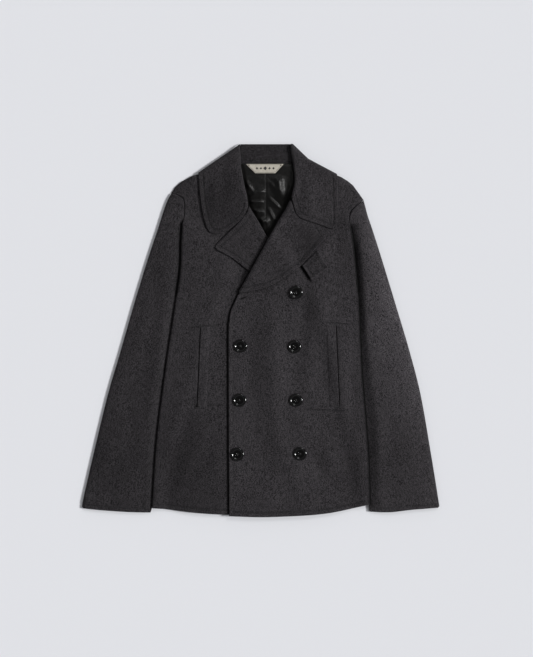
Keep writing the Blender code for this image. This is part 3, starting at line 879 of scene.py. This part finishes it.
woven_in.append(wall(border, on_label, 0.0003, 0.002, (0.0001,), holes=[line_inside]))
MARKS_Y = 0.3340
for x, half in ((-0.0070, 0.0026), (0.0012, 0.0026), (0.0100, 0.0042), (0.0188, 0.0026), (0.0270, 0.0026)):
    diamond = cut_line([(x - half, MARKS_Y), (x, MARKS_Y - half), (x + half, MARKS_Y), (x, MARKS_Y + half)])
    woven_in.append(wall(diamond, on_label, 0.0003, 0.0012, (0.0003,)))


def joined(pieces):
    """Several meshes' points and faces as one."""
    points, faces, first = [], [], 0
    for some_points, some_faces in pieces:
        points.append(some_points)
        faces.append(some_faces + first)
        first += len(some_points)
    return np.concatenate(points), np.concatenate(faces)


dark_weft = plain_thread("dark_weft", (0.012, 0.010, 0.009))
piece_of("label_woven_marks", *joined(woven_in), dark_weft, "label", [])

# The under front, the wearer's right. One panel of melton from the shoulder to the hem, turned
# down over the back along its side, with its hidden edge running under the other front.
ROLL = {
    "right": straight((-0.0240, 0.2600), (-0.0035, 0.2235), (0.0136, 0.1932), (0.0939, 0.0690)),
    "left": straight(
        (0.0610, 0.2688), (0.0511, 0.2482), (0.0381, 0.2276), (-0.0303, 0.1040), (-0.0435, 0.0820)
    ),
}
NECK_EDGE = {
    "right": straight((-0.0440, 0.3420), (-0.0340, 0.2894), (-0.0265, 0.2680)),
    "left": straight((0.0690, 0.3420), (0.0735, 0.3100), (0.0700, 0.2894)),
}
FRONT_RIGHT = cut_line(
    SHOULDER["right"],
    ARMHOLE["right"][1:],
    SIDE["right"][1:],
    HEM["right"][1:],
    ROLL["right"][::-1],
    NECK_EDGE["right"][::-1],
)
# The edge of the other front, which lies over this one; the shadow it casts here is painted along UNDER_EDGE
FRONT_EDGE = curve(
    (-0.0643, -0.3821), (-0.0653, -0.1900), (-0.0655, -0.0100), (-0.0640, 0.0200),
    (-0.0599, 0.0422), (-0.0505, 0.0628), (-0.0435, 0.0820),
)
UNDER_EDGE = np.concatenate([FRONT_EDGE, ROLL["left"][::-1]]) + (-0.0016, 0.0004)
BODY_EDGE = {side: np.concatenate([SHOULDER[side], ARMHOLE[side], SIDE[side]]) for side in SIDE}
# Folds that run through both fronts, from how the coat was laid down
BODY_FOLDS = (
    (
        0.016,
        (0.020, 0.085, 0), (0.024, 0.020, 0.0022), (0.026, -0.080, 0.0036), (0.030, -0.19, 0.0026),
        (0.055, -0.27, 0.0024), (0.085, -0.33, 0),
    ),
    (
        0.013,
        (-0.024, 0.050, 0), (-0.023, -0.030, -0.0018), (-0.020, -0.120, -0.0018),
        (-0.008, -0.22, -0.0012), (0.01, -0.30, 0),
    ),
    (
        0.012,
        (0.088, 0.110, 0), (0.086, 0.070, -0.0030), (0.086, 0.010, -0.0028),
        (0.080, -0.08, -0.0012), (0.078, -0.13, 0),
    ),
    (0.015, (0.128, 0.095, 0), (0.124, 0.040, 0.0022), (0.118, -0.04, 0.0010), (0.110, -0.10, 0)),
    (0.013, (0.078, -0.215, 0), (0.112, -0.275, -0.0028), (0.150, -0.315, -0.0018), (0.175, -0.35, 0)),
    (0.014, (0.108, -0.215, 0), (0.140, -0.255, 0.0020), (0.175, -0.300, 0.0010), (0.195, -0.33, 0)),
    (0.013, (0.070, -0.150, 0), (0.105, -0.166, -0.0014), (0.140, -0.176, 0)),
    (0.013, (-0.150, -0.185, 0), (-0.176, -0.250, -0.0024), (-0.198, -0.310, -0.0014), (-0.21, -0.345, 0)),
    (0.013, (-0.108, -0.190, 0), (-0.138, -0.255, 0.0028), (-0.160, -0.310, 0.0016), (-0.170, -0.35, 0)),
    (0.024, (-0.130, 0.180, 0), (-0.138, 0.100, 0.0020), (-0.132, 0.020, 0.0012), (-0.125, -0.05, 0)),
    (0.017, (0.158, 0.240, 0), (0.166, 0.160, -0.0018), (0.160, 0.080, 0)),
    (0.017, (0.180, -0.02, 0), (0.186, -0.120, -0.0016), (0.190, -0.220, -0.0010), (0.185, -0.30, 0)),
    (0.015, (-0.085, -0.20, 0), (-0.092, -0.28, 0.0018), (-0.085, -0.36, 0.0003)),
    (0.014, (0.070, 0.215, 0), (0.095, 0.185, -0.0016), (0.112, 0.160, 0)),
)
POCKET = {
    "right": ((-0.1224, 0.0072), (-0.1296, -0.1586), 0.019),
    "left": ((0.1545, 0.0113), (0.1619, -0.1576), -0.019),
}

# The rows across each pocket's ends, which also hold the pocket bag inside
POCKET_ROWS = {
    "right": (
        straight((-0.1302, 0.0076), (-0.0847, 0.0117)),
        straight((-0.1302, -0.1566), (-0.0853, -0.1530)),
    ),
    "left": (
        straight((0.1372, 0.0167), (0.1737, 0.0136)),
        straight((0.1007, -0.1625), (0.1675, -0.1656)),
    ),
}


def front_base(xy):
    """Where both fronts lie over the back: some air between, more towards the middle."""
    edge = np.minimum(away(xy, BODY_EDGE["right"]), away(xy, BODY_EDGE["left"]))
    air = 0.0044 * smooth((edge - 0.010) / 0.085) + over(xy, LINING) * (SATIN + AIR)
    waves = 0.0008 * unevenness(xy, 0.070, 11) + 0.00030 * unevenness(xy, 0.021, 12)
    free = smooth((edge - 0.004) / 0.03)
    return back_under(xy) + CLOTH + AIR + air + (waves + ridges(xy, *BODY_FOLDS)) * free


def mouth(side, less=0):
    """The line of the pocket's mouth, just outside the welt, drawn in from both its ends by `less`."""
    top, bottom, width = POCKET[side]
    out = -0.0008 if width > 0 else 0.0008
    return straight((top[0] + out, top[1] - less), (bottom[0] + out, bottom[1] + less))


def slit(xy, side):
    """The pocket's mouth, a narrow hollow beside the welt's folded edge."""
    hollow = 0.0024 * np.exp(-((away(xy, mouth(side)) / 0.0010) ** 2))
    for row in POCKET_ROWS[side]:
        hollow += sewn(xy, row, 0, 0.0010)
    return hollow


STITCH_IN = 0.009  # from the edges of the hem, lapels and collar to their rows of stitches
HEM_ROW = {
    "right": beside_run(HEM["right"][3:44], STITCH_IN),
    "left": beside_run(HEM["left"][3:-3], -STITCH_IN),
}


def sewn(xy, run, inset, depth=0.0010):
    """The hollow that a row of stitches pulls into the cloth, `inset` from an edge."""
    return depth * np.exp(-(((away(xy, run) - inset) / 0.0012) ** 2))


def front_right_under(xy):
    down = turned_down(xy, SHOULDER["right"], 0.009, 0.0048)
    down = np.maximum(down, turned_down(xy, SIDE["right"], 0.006, 0.0022))
    down = np.maximum(down, turned_down(xy, ARMHOLE["right"], 0.0030, 0.0008))
    down += sewn(xy, HEM["right"], STITCH_IN) + slit(xy, "right")
    return np.maximum(front_base(xy) - down, back_under(xy))


cloth(
    "front_right",
    drawn_in(drawn_in(FRONT_RIGHT, [NECK_EDGE["right"]], 0.005), [ROLL["right"]], 0.0035),
    front_right_under,
    body_wool["right"],
    rests_on=["back_cloth"],
    lines=[mouth("right", 0.007), *POCKET_ROWS["right"], UNDER_EDGE],
    # Painted shade in the groove by the coat's side, a painted shadow under the other front's edge, painted
    # shade in the stitched grooves of the hem and pockets, and painted light and shade in broad patches
    nap_and_painted_light=(
        (GROOVE["right"], 0.0030, -0.75),
        (UNDER_EDGE, 0.0019, -0.92),
        (HEM_ROW["right"], 0.0013, -0.50),
        *((row, 0.0013, -0.50) for row in POCKET_ROWS["right"]),
        (-0.150, -0.29, 0.080, 0.12, -0.28), (-0.185, -0.27, 0.020, 0.06, -0.16),
        (-0.100, 0.15, 0.050, 0.05, 0.08), (-0.150, 0.03, 0.030, 0.05, 0.10),
        (-0.165, 0.29, 0.020, 0.03, -0.20),
    ),
)

# The right lapel and collar leaf. Two layers of melton stitched round and turned right side out,
# which gives a firm edge, then folded back on the front along the roll line and round the neck.
DOUBLE = 0.0028
LAPEL_EDGE = {
    "right": np.concatenate(
        [
            straight((0.0880, 0.0780), (-0.0235, 0.1226), (-0.0585, 0.1494), (-0.0894, 0.1658)),
            curve((-0.0894, 0.1658), (-0.0924, 0.1705), (-0.0905, 0.1770))[1:],
            straight((-0.0905, 0.1770), (-0.0416, 0.2242), (-0.0276, 0.2434))[1:],
        ]
    ),
    "left": np.concatenate(
        [
            curve((-0.0435, 0.0780), (-0.0091, 0.0834), (0.0321, 0.0979), (0.0857, 0.1349)),
            straight(
                (0.0857, 0.1349), (0.1166, 0.1720), (0.1345, 0.1920), (0.1330, 0.1970), (0.1225, 0.2158)
            )[1:],
        ]
    ),
}
LAPEL = {
    "right": cut_line(LAPEL_EDGE["right"], [(-0.0238, 0.2565), (-0.0035, 0.2235), (0.0136, 0.1932)]),
    "left": cut_line(
        LAPEL_EDGE["left"], [(0.0806, 0.2302), (0.0704, 0.2440), (0.0648, 0.2620)], ROLL["left"]
    ),
}
LEAF_EDGE = {
    "right": curve(
        (-0.1280, 0.3262), (-0.1246, 0.2791), (-0.1182, 0.2379), (-0.1079, 0.2070),
        (-0.0935, 0.1988), (-0.0729, 0.2029), (-0.0420, 0.2256), (-0.0286, 0.2451),
        (-0.0252, 0.2575),
    ),
    "left": curve(
        (0.1580, 0.3232), (0.1599, 0.2482), (0.1592, 0.2235), (0.1516, 0.2091), (0.1228, 0.2173),
        (0.0816, 0.2318), (0.0720, 0.2450), (0.0668, 0.2620), (0.0640, 0.2742),
    ),
}
NECK_FOLD = {
    "right": straight(
        (-0.0252, 0.2575), (-0.0278, 0.2780), (-0.0334, 0.3010), (-0.0405, 0.3400), (-0.0420, 0.3850)
    ),
    "left": curve(
        (0.0640, 0.2742), (0.0670, 0.2894), (0.0707, 0.3100), (0.0676, 0.3420), (0.0626, 0.3718),
        (0.0635, 0.3850),
    ),
}
LEAF = {
    "right": cut_line(LEAF_EDGE["right"], NECK_FOLD["right"][1:], COLLAR_TURN["right"]),
    "left": cut_line(LEAF_EDGE["left"], NECK_FOLD["left"][1:], COLLAR_TURN["left"]),
}
LAPEL_ROW = {
    "right": beside_run(LAPEL_EDGE["right"], -STITCH_IN),
    "left": beside_run(LAPEL_EDGE["left"], STITCH_IN),
}
LEAF_ROW = {
    "right": beside_run(LEAF_EDGE["right"][2:], STITCH_IN),
    "left": beside_run(LEAF_EDGE["left"][2:], -STITCH_IN),
}
ROLL_LIFT = {"right": 0.0014, "left": 0.0021}  # the folds stand up where they are not pressed
NECK_LIFT = {"right": (0.0014, 0.0004), "left": (0.0022, 0.0034)}  # at the top, and more half way down


def roll(xy, side):
    """How a lapel stands up along its roll line."""
    return ROLL_LIFT[side] * np.exp(-((away(xy, ROLL[side]) / 0.017) ** 2))


def lapel_under(xy, side, front):
    lift = roll(xy, side) - turned_down(xy, ROLL[side], 0.009, 0.0040)
    lift += 0.0006 * np.exp(-((away(xy, LAPEL_EDGE[side]) / 0.010) ** 2))
    lift -= sewn(xy, LAPEL_EDGE[side], STITCH_IN, 0.0012)
    lift += 0.0004 * (1 + unevenness(xy, 0.03, 31))
    return front(xy) + CLOTH + AIR + lift


def leaf_under(xy, side, front):
    """Soft upright folds in the leaf, its neck fold, and its turn over the shoulder to the fall."""
    folds = ridges(xy, *LEAF_FOLDS[side])
    low, more = NECK_LIFT[side]
    stands = low + more * np.exp(-(((xy[:, 1] - 0.285) / 0.040) ** 2))
    neck = stands * np.exp(-((away(xy, NECK_FOLD[side]) / 0.014) ** 2))
    edge = np.exp(-((away(xy, LEAF_EDGE[side]) / 0.010) ** 2))
    lift = 0.0004 * (1 + edge + unevenness(xy, 0.026, 32)) + neck + folds
    lift = np.maximum(lift, 0) - turned_down(xy, NECK_FOLD[side], 0.008, 0.0036)
    lift -= sewn(xy, LEAF_EDGE[side], STITCH_IN, 0.0012)
    full = front(xy) + CLOTH + AIR + lift
    return full - turned_down(xy, COLLAR_TURN[side], 0.011, 1.0) * (full - 0.0003)


LEAF_FOLDS = {
    "right": (
        (0.009, (-0.098, 0.330, 0), (-0.096, 0.285, 0.0014), (-0.090, 0.240, 0.0008), (-0.085, 0.22, 0)),
        (0.008, (-0.078, 0.345, 0), (-0.070, 0.310, -0.0013), (-0.064, 0.270, -0.0008), (-0.058, 0.25, 0)),
        (0.007, (-0.112, 0.300, 0), (-0.110, 0.260, -0.0006), (-0.104, 0.225, 0)),
    ),
    "left": (
        (0.011, (0.094, 0.340, 0), (0.101, 0.295, 0.0017), (0.100, 0.255, 0.0010), (0.098, 0.235, 0)),
        (0.007, (0.078, 0.345, 0), (0.083, 0.300, -0.0010), (0.084, 0.250, 0)),
        (0.009, (0.132, 0.315, 0), (0.138, 0.270, 0.0007), (0.134, 0.230, 0)),
    ),
}
# Lit and shaded copies of the melton: the right lapel painted a little darker than the left
lapel_wool = {
    "right": melton("melton_right_lapel", painted_brightness=0.95, grain=-35, twill=0.5),
    "left": melton("melton_left_lapel", painted_brightness=1.0, grain=30, twill=0.5),
}
FOLD_RINGS = (0.0004, 0.0010, 0.0018, 0.0028, 0.0040, 0.0054, 0.0068, 0.0080, 0.0090, 0.0100, 0.0115, 0.0140)
TURNED_OUT = {"held": "folded", "thick": DOUBLE, "grid": 0.004, "rings": FOLD_RINGS}
cloth(
    "lapel_right",
    LAPEL["right"],
    lambda xy: lapel_under(xy, "right", front_base),
    lapel_wool["right"],
    rests_on=["front_right_cloth"],
    # Painted shade in the stitched groove, and a painted shadow under the other front's edge
    nap_and_painted_light=((LAPEL_ROW["right"], 0.0012, -0.42), (UNDER_EDGE, 0.0022, -0.92)),
    **TURNED_OUT,
)
cloth(
    "collar_leaf_right",
    LEAF["right"],
    lambda xy: leaf_under(xy, "right", front_base),
    collar_wool,
    rests_on=["front_right_cloth"],
    **TURNED_OUT,
    # Painted shade in the stitched groove and in broad patches
    nap_and_painted_light=(
        (LEAF_ROW["right"], 0.0012, -0.45),
        (-0.100, 0.285, 0.012, 0.05, -0.20), (-0.068, 0.300, 0.016, 0.04, -0.26),
        (-0.080, 0.260, 0.040, 0.05, -0.24),
    ),
)

# The over front, the wearer's left. It crosses the other front, and its edge is faced with melton,
# stitched close to the edge and rounded into the roll line at the top.
FRONT_LEFT = cut_line(
    SHOULDER["left"],
    ARMHOLE["left"][1:],
    SIDE["left"][1:],
    HEM["left"][1:-1],
    FRONT_EDGE,
    ROLL["left"][-2::-1],
    NECK_EDGE["left"][::-1],
)
EDGE_STITCH = 0.0075
BUTTONHOLE = straight((-0.0400, 0.0648), (-0.0300, 0.0690), step=0.001)
TAB_END = straight((0.0862, 0.1332), (0.1053, 0.1040))
BESIDE_TAB = TAB_END + (-0.0022, -0.0012)
OVER_FRONT = 0.0028  # with the facing pressed to its inside


def front_left_base(xy):
    """The over front's height: lifted where the other front and its lapel lie under it."""
    under_lapel = over(xy, LAPEL["right"]) * (DOUBLE + AIR + 0.0008 + roll(xy, "right"))
    return front_base(xy) + over(xy, FRONT_RIGHT) * (CLOTH + AIR) + under_lapel


def front_left_under(xy):
    down = turned_down(xy, SHOULDER["left"], 0.009, 0.0048)
    down = np.maximum(down, turned_down(xy, SIDE["left"], 0.006, 0.0022))
    down = np.maximum(down, turned_down(xy, ARMHOLE["left"], 0.0030, 0.0005))
    down += sewn(xy, HEM["left"], STITCH_IN) + sewn(xy, FRONT_EDGE, EDGE_STITCH, 0.0004) + slit(xy, "left")
    down += 0.0024 * np.exp(-((away(xy, BUTTONHOLE) / 0.0011) ** 2))
    lifted = 0.0012 * np.exp(-((away(xy, FRONT_EDGE) / 0.008) ** 2))
    return np.maximum(front_left_base(xy) + lifted - down, back_under(xy))


cloth(
    "front_left",
    drawn_in(drawn_in(FRONT_LEFT, [NECK_EDGE["left"]], 0.005), [ROLL["left"]], 0.0035),
    front_left_under,
    body_wool["left"],
    rests_on=["back_cloth", "front_right_cloth"],
    thick=OVER_FRONT,
    lines=[mouth("left", 0.007), *POCKET_ROWS["left"], BUTTONHOLE, BESIDE_TAB],
    # Painted shade in the groove by the coat's side, in the stitched grooves of the hem and pockets and in
    # the buttonhole, painted shadows below the lapel's edge and beside the tab's raised end, and painted
    # light and shade in broad patches
    nap_and_painted_light=(
        (GROOVE["left"], 0.0026, -0.70),
        (SIDE["left"], 0.0024, -0.93),
        (HEM_ROW["left"], 0.0013, -0.50),
        *((row, 0.0013, -0.50) for row in POCKET_ROWS["left"]),
        (LAPEL_EDGE["left"][:32], 0.0026, -0.50),
        (BUTTONHOLE, 0.0015, -0.92),
        (BESIDE_TAB, 0.0032, -0.97),
        (0.052, -0.060, 0.016, 0.16, 0.16), (-0.042, -0.150, 0.014, 0.20, 0.10),
        (-0.001, -0.030, 0.013, 0.11, -0.16), (0.024, -0.220, 0.013, 0.06, -0.12),
        (0.104, 0.060, 0.011, 0.05, -0.26), (0.095, -0.285, 0.020, 0.035, 0.14),
        (0.125, -0.265, 0.014, 0.045, -0.14), (0.145, 0.050, 0.026, 0.07, 0.10),
        (0.184, -0.090, 0.012, 0.10, 0.26), (0.168, 0.200, 0.012, 0.06, -0.16),
        (0.190, -0.280, 0.030, 0.06, -0.18),
    ),
)


def over_front(xy):
    """The over front as what lies on it meets it, a little thicker than the other."""
    return front_left_base(xy) + 0.0004


cloth(
    "lapel_left",
    LAPEL["left"],
    lambda xy: lapel_under(xy, "left", over_front),
    lapel_wool["left"],
    rests_on=["front_left_cloth"],
    **TURNED_OUT,
    # Painted shade in the stitched groove and in broad patches
    nap_and_painted_light=(
        (LAPEL_ROW["left"], 0.0012, -0.42),
        (0.098, 0.185, 0.028, 0.034, -0.30), (0.030, 0.150, 0.030, 0.050, -0.10),
    ),
)
cloth(
    "collar_leaf_left",
    LEAF["left"],
    lambda xy: leaf_under(xy, "left", over_front),
    collar_wool,
    rests_on=["front_left_cloth"],
    **TURNED_OUT,
    # Painted shade in the stitched groove, and painted light and shade in broad patches
    nap_and_painted_light=(
        (LEAF_ROW["left"], 0.0012, -0.45),
        (0.125, 0.275, 0.028, 0.04, 0.20), (0.087, 0.290, 0.007, 0.04, -0.16),
    ),
)

# The pocket welts. A folded strip of melton at each slanting pocket, sewn to the front along one
# long side and both ends, so that only its folded edge at the mouth stands free.
WELT = 0.0013


def welt_under(xy, side, front):
    top, bottom, width = POCKET[side]
    sewn_side = straight(top, (top[0] + width, top[1]), (bottom[0] + width, bottom[1]), bottom)
    return front(xy) + CLOTH + 0.0002 - turned_down(xy, sewn_side, 0.013, 0.0016)


for side, front in (("right", front_base), ("left", over_front)):
    top, bottom, width = POCKET[side]
    cloth(
        "pocket_welt_" + side,
        cut_line([top, bottom, (bottom[0] + width, bottom[1]), (top[0] + width, top[1])]),
        lambda xy, side=side, front=front: welt_under(xy, side, front),
        body_wool[side],
        rests_on=["front_" + side + "_cloth"],
        thick=WELT,
        grid=0.004,
        # Painted light along the welt's sewn side, lifting the shade of its slope
        nap_and_painted_light=((straight((top[0] + width, top[1]), (bottom[0] + width, bottom[1])), 0.006, 0.06),),
    )

# The throat tab. A short doubled strip that comes from under the collar, box-stitched to the
# front, with its free end standing slightly off the cloth.
TAB_CLOTH = 0.0020  # two layers, pressed
TAB_STITCH = 0.0062
TAB = cut_line([(0.0862, 0.1332), (0.1053, 0.1040), (0.1393, 0.1288), (0.1180, 0.1640)])


def tab_under(xy):
    lift = 0.0002 + 0.0034 * np.exp(-((away(xy, TAB_END) / 0.008) ** 2))
    return over_front(xy) + CLOTH + AIR + np.maximum(lift - sewn(xy, closed(TAB), TAB_STITCH, 0.0012), 0)


cloth(
    "throat_tab",
    TAB,
    tab_under,
    # The tab painted a little darker: painted shade
    melton("melton_tab", painted_brightness=0.9, grain=-50, twill=0.5),
    rests_on=["front_left_cloth"],
    thick=TAB_CLOTH,
    grid=0.003,
    rings=(0.0005, 0.0012, 0.0022, 0.0035, 0.0048, 0.0062, 0.0076),
    # Painted shade in the groove of the stitched box and a painted highlight along the tab's edges
    nap_and_painted_light=((closed(inward(TAB, TAB_STITCH)), 0.0013, -0.55), (closed(TAB), 0.0030, 0.25)),
)

# The topstitching. Charcoal polyester thread, three millimetres to the stitch, along the edges of
# the collar, lapels, front, hem and cuffs, round the pockets and in a box on the tab.


def stitches(run, top, pitch=0.0034, length=0.0026, thick=0.00035):
    """Small spindles of thread along a run, sunk at both ends into the cloth under them."""
    travelled = np.concatenate([[0], np.cumsum(np.hypot(*np.diff(run, axis=0).T))])
    pieces = []
    for start in np.arange(pitch / 2, travelled[-1] - pitch / 2, pitch):
        stations = start + length * np.array([-0.5, -0.32, 0, 0.32, 0.5])
        line = np.stack([np.interp(stations, travelled, run[:, k]) for k in (0, 1)], axis=1)
        pieces.append(line)
    lines = np.array(pieces)
    count = len(lines)
    z = top(lines.reshape(-1, 2)).reshape(count, 5)
    heading = lines[:, 4] - lines[:, 0]
    heading /= np.linalg.norm(heading, axis=1)[:, None]
    side = np.stack([-heading[:, 1], heading[:, 0]], axis=1)
    wide = thick * np.array([0.35, 0.9, 1.0, 0.9, 0.35])
    sunk = thick * np.array([-0.9, 0.1, 0.45, 0.1, -0.9])
    points, faces = [], []
    around = [(math.cos(a), math.sin(a)) for a in np.linspace(0, 2 * math.pi, 6, endpoint=False)]
    for station in range(5):
        for c, s in around:
            flat = lines[:, station] + side * (c * wide[station])
            points.append(np.column_stack([flat, z[:, station] + sunk[station] + s * wide[station]]))
    points = np.stack(points, axis=1).reshape(-1, 3)
    for station in range(4):
        for k in range(6):
            a, b = station * 6 + k, station * 6 + (k + 1) % 6
            faces += [(a, a + 6, b + 6), (a, b + 6, b)]
    faces += [(0, k, k + 1) for k in range(1, 5)] + [(24, 24 + k + 1, 24 + k) for k in range(1, 5)]
    every = np.array(faces)[None] + 30 * np.arange(count)[:, None, None]
    return points, every.reshape(-1, 3)


charcoal_thread = plain_thread("charcoal_thread", (0.020, 0.019, 0.021), 0.55)


def top_of(under, thick=CLOTH):
    return lambda xy: under(xy) + thick


def higher_of(one, other):
    return lambda xy: np.maximum(one(xy), other(xy))


front_right_top = top_of(front_right_under)
front_left_top = top_of(front_left_under, OVER_FRONT)
rows = {"front_right": [], "front_left": []}
rows["front_right"].append(stitches(HEM_ROW["right"], front_right_top))
rows["front_left"].append(stitches(HEM_ROW["left"], front_left_top))
rows["front_left"].append(stitches(beside_run(FRONT_EDGE[2:], -EDGE_STITCH), front_left_top))
for side, front, base in (("right", front_right_top, front_base), ("left", front_left_top, over_front)):
    top, bottom, width = POCKET[side]
    outer = straight((top[0] - width * 0.16, top[1]), (bottom[0] - width * 0.16, bottom[1]))
    rows["front_" + side].append(stitches(outer, front))
    on_bar = higher_of(front, top_of(lambda xy, s=side, b=base: welt_under(xy, s, b), WELT))
    for row in POCKET_ROWS[side]:
        rows["front_" + side].append(stitches(row, front))
    for x, y in (top, bottom):
        bar = straight((x - width * 0.20, y), (x + width * 0.45, y))
        for drift in (-0.0006, 0, 0.0006):
            rows["front_" + side].append(stitches(bar + (0, drift), on_bar, 0.0014, 0.0013, 0.0004))
for side, front in (("right", front_base), ("left", over_front)):
    lapel_top = top_of(lambda xy, s=side, f=front: lapel_under(xy, s, f), DOUBLE)
    leaf_top = top_of(lambda xy, s=side, f=front: leaf_under(xy, s, f), DOUBLE)
    on_lapel = LAPEL_ROW[side][within(LAPEL_ROW[side], inward(LAPEL[side], 0.006))]
    on_leaf = LEAF_ROW[side][within(LEAF_ROW[side], inward(LEAF[side], 0.006))]
    rows["lapel_" + side] = [stitches(on_lapel, lapel_top)]
    rows["collar_leaf_" + side] = [stitches(on_leaf, leaf_top)]
    sleeve_top = top_of(lambda xy, s=side: sleeve_top_under(s, xy))
    rows["cuff_" + side] = [stitches(CUFF_ROW[side], sleeve_top)]
box = inward(TAB, TAB_STITCH)
box = closed(box[away(box, closed(TAB)) > 0.0060])
tab_top = top_of(tab_under, TAB_CLOTH)
rows["throat_tab"] = [stitches(box, tab_top, 0.0030, 0.0024)]
for name, sewn_rows in rows.items():
    piece_of(name + "_stitches", *joined(sewn_rows), charcoal_thread, "wool", [])

# The buttons. Seven of black polished plastic, 28 mm across, turned with a raised rim round a
# dished middle that has four holes, and sewn on with crossed black thread.
BUTTONS = {
    "button_inner_1": (0.0733, 0.0783),
    "button_inner_2": (0.0702, -0.0330),
    "button_inner_3": (0.0733, -0.1432),
    "button_inner_4": (0.0816, -0.2534),
    "button_outer_1": (-0.0410, -0.0319),
    "button_outer_2": (-0.0431, -0.1432),
    "button_outer_3": (-0.0472, -0.2544),
}
button_plastic, tree, shader, place = new_material("black_plastic")
cloudy = node(tree, "TexNoise", {"Vector": place, "Scale": 240, "Detail": 3, "Distortion": 0.8})
scuffs = node(tree, "TexNoise", {"Vector": place, "Scale": 1700, "Detail": 3})
black = blend(tree, cloudy.outputs["Fac"], (0.0010, 0.0010, 0.0010), (0.0030, 0.0028, 0.0027))
shine = node(tree, "Math", {0: scuffs.outputs["Fac"], 1: 0.08, 2: 0.04}, operation="MULTIPLY_ADD")
scratch = node(tree, "Bump", {"Height": scuffs.outputs["Fac"], "Strength": 0.06, "Distance": 0.0002})
tree.links.new(black, shader.inputs["Base Color"])
tree.links.new(shine.outputs[0], shader.inputs["Roughness"])
tree.links.new(scratch.outputs[0], shader.inputs["Normal"])
shader.inputs["Specular IOR Level"].default_value = 0.36
shader.inputs["Coat Weight"].default_value = 0.10
shader.inputs["Coat Roughness"].default_value = 0.06
button_thread = plain_thread("black_button_thread", (0.012, 0.011, 0.011), 0.5)
BUTTON_RADIUS = 0.0140
BUTTON_BLANK = 0.0020  # the disc before its face is turned
HOLE_RADIUS = 0.0009
HOLES_OUT = 0.0027
BUTTON_RINGS = (0.0002, 0.0005, 0.0009, 0.0014, 0.0020, 0.0028, 0.0036, 0.0044, 0.0054, 0.0066)
RIM_FROM_MIDDLE = np.array([0, 0.0060, 0.0082, 0.0090, 0.0097, 0.0104, 0.0112, 0.0120, 0.0130, 0.0140])
RIM_HEIGHT = np.array([0.0018, 0.0018, 0.0018, 0.0021, 0.0026, 0.0031, 0.0034, 0.0033, 0.0028, 0.0020])


def circle(x, y, radius, count):
    angle = np.linspace(0, 2 * math.pi, count, endpoint=False)
    return np.stack([x + radius * np.cos(angle), y + radius * np.sin(angle)], axis=1)


for name, (x, y) in BUTTONS.items():
    turn = math.radians(sum(map(ord, name)) % 50 + 20)
    holes = [
        circle(x + HOLES_OUT * math.cos(a), y + HOLES_OUT * math.sin(a), HOLE_RADIUS, 14)
        for a in turn + np.arange(4) * math.pi / 2
    ]
    spread = np.concatenate([circle(x, y, r, 16) for r in (0.004, 0.009, 0.014)])
    seat = front_left_top(spread).max() + 0.0001
    outline = circle(x, y, BUTTON_RADIUS, 72)

    def turned_height(xy, x=x, y=y):
        return np.interp(np.hypot(xy[:, 0] - x, xy[:, 1] - y), RIM_FROM_MIDDLE, RIM_HEIGHT)

    points, faces = wall(
        outline,
        lambda xy: np.zeros(len(xy)),
        BUTTON_BLANK,
        0.0011,
        BUTTON_RINGS,
        holes=holes,
    )
    upper = points[:, 2] > 0.00101
    points[upper, 2] += turned_height(points[upper, :2]) - BUTTON_BLANK
    points[:, 2] += seat
    piece_of(name + "_turned", points, faces, button_plastic, "button", [name])
    threads = []
    for a, b in ((0, 2), (1, 3)):
        ends = [hole.mean(axis=0) for hole in (holes[a], holes[b])]
        for drift in (-0.00030, 0.00030):
            square = np.array([ends[1][1] - ends[0][1], ends[0][0] - ends[1][0]])
            square = square / np.linalg.norm(square) * drift
            strand = straight(ends[0] + square, ends[1] + square, step=0.0006)
            reach = math.dist(*ends)
            threads.append(
                stitches(
                    np.concatenate([strand[:1] - 1e-4, strand, strand[-1:] + 1e-4]),
                    lambda xy, z=seat + 0.0021: np.full(len(xy), z),
                    reach,
                    reach * 0.98,
                    0.00032,
                )
            )
    threads = [some for some in threads if len(some[0])]
    if threads:
        piece_of(name + "_thread", *joined(threads), button_thread, "button", [])
